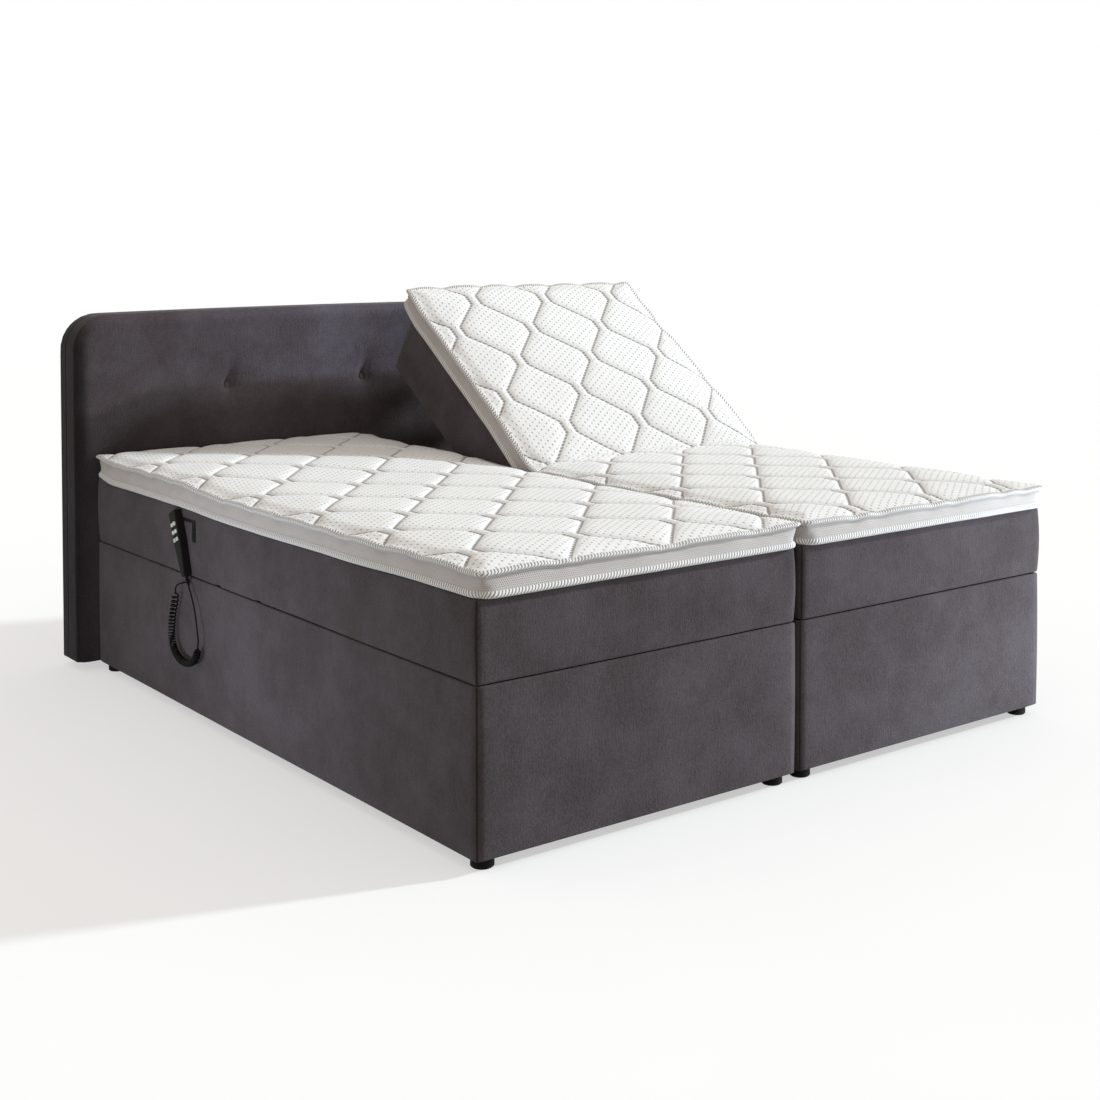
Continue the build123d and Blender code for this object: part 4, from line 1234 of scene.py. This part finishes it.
def topper_points(side, flat, inside, points, out, profile):
    """A flat topper's points: lower corners rounder than the upper ones, tapes, quilting and settling."""
    lip = sizes().topper_lip
    low_points, _, low_out = round_plan(flat, HALF_WIDTH, BOX_LENGTH, sizes().topper_low_corner)
    low = 1.0 - smooth(flat[:, 2:3], LOW_CORNER_HEIGHT, lip - LOW_CORNER_FALL)
    points += (low_points - points) * low
    out += (low_out - out) * low
    points = stand_out(points, out, inside < NEARLY, profile_out(points, profile))
    across, along = [flat[:, axis] + QUILT_SHIFT[side][axis] for axis in (0, 1)]
    stitch = stitch_lines(across, along)
    top = flat[:, 2] > lip - NEARLY
    points[top, 2] += quilt_lift(side, flat, inside, stitch)[top]
    points = soften_topper(side, points, flat, inside, out, stitch)
    points = draw_in(points, flat, side, TOPPER_DRAW, TOPPER_MIDDLE_GAP)
    for axis in (0, 1):
        points[:, axis] += TOPPER_SHIFT[axis] * (1.0 - smooth(flat[:, 1], 0.0, TOPPER_SHIFT_REACH[axis]))
    return points


def topper_faces(bm, flat, inside):
    """Give a topper's faces their cloth: quilt on top, mesh on the border and below, tape on the edges."""
    lip = sizes().topper_lip
    for face in bm.faces:
        level = sum(flat[v.index][2] for v in face.verts) / len(face.verts)
        depth = sum(inside[v.index] for v in face.verts) / len(face.verts)
        if level > lip - NEARLY:
            face.material_index = TAPE_FACE if depth < TAPE_ON_TOP else QUILT_FACE
        elif level < NEARLY:
            face.material_index = TAPE_FACE if depth < TAPE_BELOW else BORDER_FACE
        elif LOW_TAPE_TOP <= level <= lip - HIGH_TAPE_FALL:
            face.material_index = BORDER_FACE
        else:
            face.material_index = TAPE_FACE


def build_topper(side):
    """One quilted topper with its mesh border and two edge tapes."""
    profile = topper_profile(sizes().topper_lip)
    step = sizes().quilt_step
    bm = grid_block(HALF_WIDTH, BOX_LENGTH, [p[0] for p in profile], step)
    flat = points_of(bm)
    points, inside, out = round_plan(flat, HALF_WIDTH, BOX_LENGTH, sizes().topper_corner)
    points = topper_points(side, flat, inside, points, out, profile)
    flat_coordinates(bm, flat, QUILT_SHIFT[side])
    topper_faces(bm, flat, inside)
    shade_smooth(bm)
    points[:, 2] += MATTRESS_TOP
    slide = SLIDE_REST[side] if HEAD_REST[side] else 0.0
    set_points(bm, to_bed(bend_up(points, HEAD_REST[side], slide), side))
    start = THIGH_BEND[side][0]
    fold_end = LEFT_SLIDE[0] if side == "left" else RIGHT_FOLD_END
    ends = {
        "calf": (0.0, CALF_BEND[0]),
        "thigh": (CALF_BEND[0], start),
        "fold": (start, fold_end),
        "head": (fold_end, BOX_LENGTH),
    }
    materials = [finishes()[name] for name in ("quilt", "border", "tape")]
    pieces = zone_pieces("topper_pad", side, bm, flat, ends, materials)
    bend_with_legs(pieces, side)
    if side == "left":
        fold = bent_places(side, LEFT_FOLD, MATTRESS_TOP)
        slide_ends = bent_places(side, LEFT_SLIDE, MATTRESS_TOP)
    else:
        level = MATTRESS_TOP + sizes().topper_lip / 2
        fold = fold_places(side, TOPPER_FOLD, level, slide)
        slide_ends = bent_places(side, RIGHT_SLIDE, level, slide)
    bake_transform(pieces["fold"])
    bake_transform(pieces["head"])
    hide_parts(f"{side}_topper_calf")
    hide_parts(f"{side}_topper_thigh")
    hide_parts(f"{side}_topper_middle")
    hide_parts(f"{side}_topper_head")


# Headboard
def button_row():
    """Height of the row of buttons above the padding's bottom, and their spacing."""
    low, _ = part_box("headboard_padding")
    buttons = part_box("headboard_buttons")
    radius = (buttons[1][2] - buttons[0][2]) / 2
    return buttons[0][2] + radius - low[2], buttons[1][0] - radius


def edge_gap(flat, width, tall):
    """How far points of an upright slab are from its side and top edges, before its corners are rounded."""
    return np.minimum(width / 2 - np.abs(flat[:, 0]), tall - flat[:, 1])


def paint_light_and_shade(bm, points, flat, width, buttoned):
    """Write a slab's painted shade down its side edges, and where it has buttons a painted highlight above
    them and shadow below.
    """
    layer = bm.loops.layers.uv.new("cloth")
    aside = np.abs(points[:, 0])
    edge = 1.0 - smooth(width / 2 - aside, 0.0, EDGE_SHADE_REACH)
    # Painted shade down the side edges
    painted_light = -EDGE_SHADE * edge
    if buttoned:
        line = button_row()[0] + SHADOW_LINE_RISE - SHADOW_LINE_FALL * smooth(aside, *SHADOW_LINE_FALL_ZONE)
        above = smooth(points[:, 1] - line, *SHADOW_LINE_BLUR)
        pale = PAINTED_HIGHLIGHT[0] + (PAINTED_HIGHLIGHT[1] - PAINTED_HIGHLIGHT[0]) * (1.0 - smooth(aside, *PAINTED_HIGHLIGHT_ZONE))
        dark = PAINTED_SHADOW * smooth(aside, *PAINTED_SHADOW_ZONE)
        # Painted highlight above the row of buttons, painted shadow below it
        painted_light += (pale * above - dark * (1.0 - above)) * (1.0 - edge)
    for face in bm.faces:
        back = max(flat[v.index][2] for v in face.verts) < NEARLY
        for loop in face.loops:
            loop[layer].uv = (0.0, 0.0 if back else painted_light[loop.vert.index])


def pulled_front(points, flat, thick):
    """Pull the padding in round each button, with a crease above."""
    level, spacing = button_row()
    front = flat[:, 2] > thick - NEARLY
    pull = wrinkle(points + SWELL_SHIFT, *PADDING_SWELL)
    rise = np.clip((points[:, 1] - level) / BUTTON_CREASE_LENGTH, 0.0, 1.0)
    crease_width = BUTTON_CREASE_WIDTH + BUTTON_CREASE_SPREAD * rise
    crease_depth = BUTTON_CREASE_DEPTH * (1.0 - smooth(rise, 0.0, 1.0)) * (points[:, 1] > level)
    for x in (-spacing, 0.0, spacing):
        near = np.hypot(points[:, 0] - x, points[:, 1] - level)
        pull += sum(depth * hump(near, reach) for depth, reach in BUTTON_PULLS)
        lean = points[:, 0] - x - BUTTON_CREASE_LEAN * rise
        pull += crease_depth * hump(lean, crease_width)
    points[front, 2] -= pull[front]
    return points


def upright_slab(name, node, front_round, back_round, step, shape_front=None):
    """An upholstered upright slab in the place of a node, its front towards the bed."""
    low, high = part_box(node)
    width, tall, thick = high[0] - low[0], high[2] - low[2], high[1] - low[1]
    corner = sizes().headboard_corner
    profile = rounded_profile(thick, front_round, back_round, 0.0)
    bm = grid_block(width, tall, [p[0] for p in profile], step)
    flat = points_of(bm)
    points, _, out = round_plan(flat, width, tall, corner, far_only=True)
    inset = profile_out(points, profile) * np.clip(1.0 - edge_gap(flat, width, tall) / corner, 0.0, 1.0)
    points[:, :2] += out * inset[:, None]
    fall = (points[:, 0] / (width / 2)) ** 2 * smooth(points[:, 1], ARCH_START * tall, tall)
    points[:, 1] -= sizes().headboard_arch * fall
    if shape_front is not None:
        points = shape_front(points, flat, thick)
    paint_light_and_shade(bm, points, flat, width, shape_front is not None)
    placed = np.empty_like(points)
    placed[:, 0] = (low[0] + high[0]) / 2 + points[:, 0]
    placed[:, 1] = high[1] - points[:, 2]
    placed[:, 2] = low[2] + points[:, 1]
    set_points(bm, placed)
    bmesh.ops.recalc_face_normals(bm, faces=bm.faces)
    shade_smooth(bm)
    made = finish_mesh(name, bm, [finishes()["velour"]])
    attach(made, "root")
    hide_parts(node)


# Handset cord
def route_place(point):
    """A route point in the bed's frame."""
    return np.array([point[0], point[1] + FOOT_END, point[2]])


def route_points():
    """Points along the cord's route, read from its smooth spline."""
    curve = bpy.data.curves.new("cord_route", "CURVE")
    curve.dimensions = "3D"
    curve.resolution_u = ROUTE_RESOLUTION
    spline = curve.splines.new("NURBS")
    spline.points.add(len(CORD_ROUTE) - 1)
    for place, point in zip(spline.points, CORD_ROUTE):
        place.co = (*route_place(point), 1.0)
    spline.order_u = 3
    spline.use_endpoint_u = True
    holder = bpy.data.objects.new("cord_route", curve)
    mesh = bpy.data.meshes.new_from_object(holder)
    points = np.array([v.co[:] for v in mesh.vertices])
    bpy.data.objects.remove(holder)
    bpy.data.meshes.remove(mesh)
    bpy.data.curves.remove(curve)
    return points


def steps_along(points):
    """Lengths of the steps between points."""
    return np.linalg.norm(np.diff(points, axis=0), axis=1)


def spaced_points(points, step):
    """The same line with evenly spaced points."""
    lengths = np.concatenate([[0.0], np.cumsum(steps_along(points))])
    places = np.linspace(0.0, lengths[-1], max(2, round(lengths[-1] / step)))
    return np.stack([np.interp(places, lengths, points[:, i]) for i in range(3)], axis=1)


def nearest_index(points, place):
    """Which of the points is nearest to a place."""
    return np.linalg.norm(points - place, axis=1).argmin()


def curl_round(points):
    """Wind the middle stretch of the cord into a tight curl round its route."""
    first = nearest_index(points, route_place(CORD_ROUTE[CURL_START]))
    last = nearest_index(points, route_place(CORD_ROUTE[CURL_END]))
    step = steps_along(points).mean()
    ease = CURL_EASE / step
    tangent = np.gradient(points, axis=0)
    tangent /= np.linalg.norm(tangent, axis=1)[:, None]
    across = np.cross(tangent, (1.0, 0.0, 0.0))
    across /= np.linalg.norm(across, axis=1)[:, None]
    upright = np.cross(tangent, across)
    index = np.arange(len(points))
    share = smooth(index, first, first + ease) * (1 - smooth(index, last - ease, last))
    radius = (CURL_OUTER_RADIUS - sizes().cord_diameter / 2) * share
    settled = smooth((index - first) / (last - first), 0.0, CURL_SETTLED)
    pitch = sizes().curl_open_pitch + (sizes().curl_pitch - sizes().curl_open_pitch) * settled
    angle = np.cumsum(2 * math.pi * step / pitch)
    return points + radius[:, None] * (across * np.cos(angle)[:, None] + upright * np.sin(angle)[:, None])


def tube(name, points, diameter):
    """A round tube with closed ends along points."""
    curve = bpy.data.curves.new(name, "CURVE")
    curve.dimensions = "3D"
    curve.bevel_depth = diameter / 2
    curve.bevel_resolution = 2
    curve.use_fill_caps = True
    spline = curve.splines.new("POLY")
    spline.points.add(len(points) - 1)
    for place, point in zip(spline.points, points):
        place.co = (*point, 1.0)
    holder = bpy.data.objects.new(name, curve)
    mesh = bpy.data.meshes.new_from_object(holder)
    bm = bmesh.new()
    bm.from_mesh(mesh)
    bpy.data.objects.remove(holder)
    bpy.data.curves.remove(curve)
    bpy.data.meshes.remove(mesh)
    bmesh.ops.remove_doubles(bm, verts=bm.verts, dist=NEARLY)
    bmesh.ops.recalc_face_normals(bm, faces=bm.faces)
    for face in bm.faces:
        face.smooth = len(face.verts) == 4
    return finish_mesh(name, bm, [finishes()["rubber"]])


def boot_rings():
    """The boot's rings, as distances from the handset's tip and radii."""
    rings = list(BOOT_COLLAR)
    for rib in range(BOOT_RIBS):
        start = RIB_START + rib * RIB_PITCH
        wide = RIB_RADIUS - rib * RIB_TAPER
        rings += [(start, wide), (start + RIB_WIDTH, wide)]
        rings += [(start + distance, wide - RIB_DEPTH) for distance in RIB_GROOVE]
    return rings + [BOOT_END]


def build_boot():
    """Tapered, ribbed strain relief at the handset's tip."""
    tip = Vector(route_place(CORD_ROUTE[-1]))
    way = (Vector(route_place(CORD_ROUTE[-2])) - tip).normalized()
    turn = Vector((0.0, 0.0, 1.0)).rotation_difference(way).to_matrix().to_4x4()
    bm = bmesh.new()
    loops = []
    for distance, radius in boot_rings():
        matrix = Matrix.Translation(tip) @ turn @ Matrix.Translation((0.0, 0.0, distance))
        circle = bmesh.ops.create_circle(bm, segments=BOOT_SEGMENTS, radius=radius, matrix=matrix)
        verts = circle["verts"]
        loops.append([e for e in bm.edges if e.verts[0] in verts and e.verts[1] in verts])
    for before, after in zip(loops, loops[1:]):
        bmesh.ops.bridge_loops(bm, edges=before + after)
    bmesh.ops.holes_fill(bm, edges=[e for e in bm.edges if e.is_boundary], sides=0)
    bmesh.ops.recalc_face_normals(bm, faces=bm.faces)
    boot = finish_mesh("handset_boot", bm, [finishes()["rubber"]])
    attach(boot, "left_head")
    return boot


def build_cord():
    """The handset cord, in two lengths that meet at the bottom of its curl."""
    diameter = sizes().cord_diameter
    route = spaced_points(route_points(), sizes().curl_pitch / TURN_POINTS)
    line = curl_round(route)
    split = int(route[:, 2].argmin())
    upper_line, lower_line = line[: split + 1], line[split:]
    upper = tube("cord_from_box", upper_line, diameter)
    lower = tube("cord_to_handset", lower_line, diameter)
    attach(upper, "root")
    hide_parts("cord_exit_lead", "cord_curl")
    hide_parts("cord_handset_lead")
    boot = build_boot()
    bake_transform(lower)


# Pieces shown as the frame has them
def dress_nodes():
    """Give every piece of the frame that stays in sight its finish."""
    wanted = dict(NODE_FINISH)
    for side in SIDES:
        wanted.update({f"{side}_{node}": finish for node, finish in HALF_NODE_FINISH.items()})
    wanted.update({node: "keys" for node in frame["nodes"] if node.startswith("button_")})
    for node, finish in wanted.items():
        mesh = frame["nodes"][node].data
        mesh.materials.clear()
        mesh.materials.append(finishes()[finish])


# Stage
def add_camera():
    """The camera at the photograph's viewing angle."""
    data = bpy.data.cameras.new("camera")
    data.lens = CAMERA_LENS
    data.shift_x, data.shift_y = CAMERA_SHIFT
    camera = bpy.data.objects.new("camera", data)
    camera.location = CAMERA_PLACE
    camera.rotation_euler = (math.pi / 2 - CAMERA_DIP, 0.0, CAMERA_TURN)
    bpy.context.scene.collection.objects.link(camera)
    bpy.context.scene.camera = camera


def key_lamp():
    """One broad lamp from the right."""
    key = bpy.data.lights.new("key", "SUN")
    key.energy = KEY_POWER
    key.angle = KEY_ANGLE
    key.color = KEY_COLOUR
    lamp = bpy.data.objects.new("key", key)
    lamp.rotation_euler = KEY_FROM.to_track_quat("Z", "Y").to_euler()
    bpy.context.scene.collection.objects.link(lamp)


def fill_lamps(floor):
    """Low soft lamps before the foot and the left side, which leave the floor's shadow as it is."""
    skipped = bpy.data.collections.new("not_filled")
    skipped.objects.link(floor)
    for name, fill in FILLS.items():
        soft = bpy.data.lights.new(name, "AREA")
        soft.shape = "RECTANGLE"
        soft.size, soft.size_y = fill["size"]
        soft.energy = fill["power"]
        soft.color = FILL_COLOUR
        lamp = bpy.data.objects.new(name, soft)
        lamp.location = fill["place"]
        away = Vector(fill["place"]) - Vector(fill["aim"])
        lamp.rotation_euler = away.to_track_quat("Z", "Y").to_euler()
        lamp.visible_camera = False
        lamp.light_linking.receiver_collection = skipped
        bpy.context.scene.collection.objects.link(lamp)
    skipped.collection_objects[0].light_linking.link_state = "EXCLUDE"


def world_light():
    """Even pale light, warm in the shade and white where the camera or a reflection looks past the bed."""
    world = bpy.data.worlds.new("studio")
    bpy.context.scene.world = world
    finish = Finish(world, "Background")
    shown = finish.shown()
    finish.feed("Color", finish.mix(shown, SHADE_COLOUR, WHITE))
    finish.feed("Strength", shown * (1.0 - WORLD_LIGHT) + WORLD_LIGHT)


def floor_finish():
    """Pale matt floor that shows near white to the camera and keeps the bed's shadow."""
    finish = material_finish("pale_floor", Roughness=0.9, Specular_IOR_Level=0.1, Emission_Strength=1.0)
    grain = finish.noise(finish.place(), scale=3.0)
    finish.feed("Base Color", finish.mix(grain, *FLOOR_TONES))
    finish.feed("Emission Color", finish.mix(finish.shown(), BLACK, FLOOR_GLOW))
    return finish.owner


def build_stage():
    """Pale floor and backdrop, soft studio light and the camera."""
    bpy.context.scene.view_settings.view_transform = "Standard"
    add_camera()
    key_lamp()
    world_light()
    bm = bmesh.new()
    bmesh.ops.create_grid(bm, x_segments=1, y_segments=1, size=FLOOR_REACH)
    floor = finish_mesh("floor", bm, [floor_finish()])
    fill_lamps(floor)


class BED_OT_stage(bpy.types.Operator):
    """Add the floor, light and camera."""

    bl_idname = "bed.stage"
    bl_label = "Stage"

    def execute(self, context):
        build_stage()
        return {"FINISHED"}


class BED_OT_cord(bpy.types.Operator):
    """Add the handset cord."""

    bl_idname = "bed.cord"
    bl_label = "Handset cord"

    def execute(self, context):
        build_cord()
        return {"FINISHED"}


class BED_OT_covers(bpy.types.Operator):
    """Add the covers of both boxes."""

    bl_idname = "bed.covers"
    bl_label = "Box covers"

    def execute(self, context):
        for side in SIDES:
            build_box_cover(side)
        return {"FINISHED"}


class BED_OT_mattresses(bpy.types.Operator):
    """Add both mattresses."""

    bl_idname = "bed.mattresses"
    bl_label = "Mattresses"

    def execute(self, context):
        for side in SIDES:
            build_mattress(side)
        return {"FINISHED"}


class BED_OT_toppers(bpy.types.Operator):
    """Add both quilted toppers."""

    bl_idname = "bed.toppers"
    bl_label = "Toppers"

    def execute(self, context):
        for side in SIDES:
            build_topper(side)
        return {"FINISHED"}


class BED_OT_headboard(bpy.types.Operator):
    """Add the headboard's padded front and covered back."""

    bl_idname = "bed.headboard"
    bl_label = "Headboard"

    def execute(self, context):
        front = sizes().headboard_round
        upright_slab("headboard_pad", "headboard_padding", front, PAD_BACK_ROUND, PAD_STEP, pulled_front)
        upright_slab("headboard_back", "headboard_board", BACK_FRONT_ROUND, BACK_ROUND, BACK_STEP)
        return {"FINISHED"}


class BED_OT_frame_finish(bpy.types.Operator):
    """Give the frame's own pieces their finishes."""

    bl_idname = "bed.frame_finish"
    bl_label = "Frame finishes"

    def execute(self, context):
        dress_nodes()
        return {"FINISHED"}


OPERATORS = (
    BED_OT_stage,
    BED_OT_cord,
    BED_OT_covers,
    BED_OT_mattresses,
    BED_OT_toppers,
    BED_OT_headboard,
    BED_OT_frame_finish,
)


class BED_PT_panel(bpy.types.Panel):
    """Lists the bed's pieces and settings in the sidebar."""

    bl_idname = "BED_PT_panel"
    bl_label = "Motorised bed"
    bl_space_type = "VIEW_3D"
    bl_region_type = "UI"
    bl_category = "Bed"

    def draw(self, context):
        for group in (context.scene.bed_sizes, context.scene.bed_colours):
            for name in group.__annotations__:
                self.layout.prop(group, name)
        for operator in OPERATORS:
            self.layout.operator(operator.bl_idname)


CLASSES = (BedSizes, BedColours, *OPERATORS, BED_PT_panel)


def register():
    """Add the classes and the scene's settings."""
    for cls in CLASSES:
        bpy.utils.register_class(cls)
    bpy.types.Scene.bed_sizes = PointerProperty(type=BedSizes)
    bpy.types.Scene.bed_colours = PointerProperty(type=BedColours)


def unregister():
    """Take away the scene's settings and the classes."""
    del bpy.types.Scene.bed_colours
    del bpy.types.Scene.bed_sizes
    for cls in reversed(CLASSES):
        bpy.utils.unregister_class(cls)


def main():
    """Build the bed piece by piece."""
    register()
    for operator in OPERATORS:
        group, name = operator.bl_idname.split(".")
        getattr(getattr(bpy.ops, group), name)()


if __name__ == "__main__":
    main()
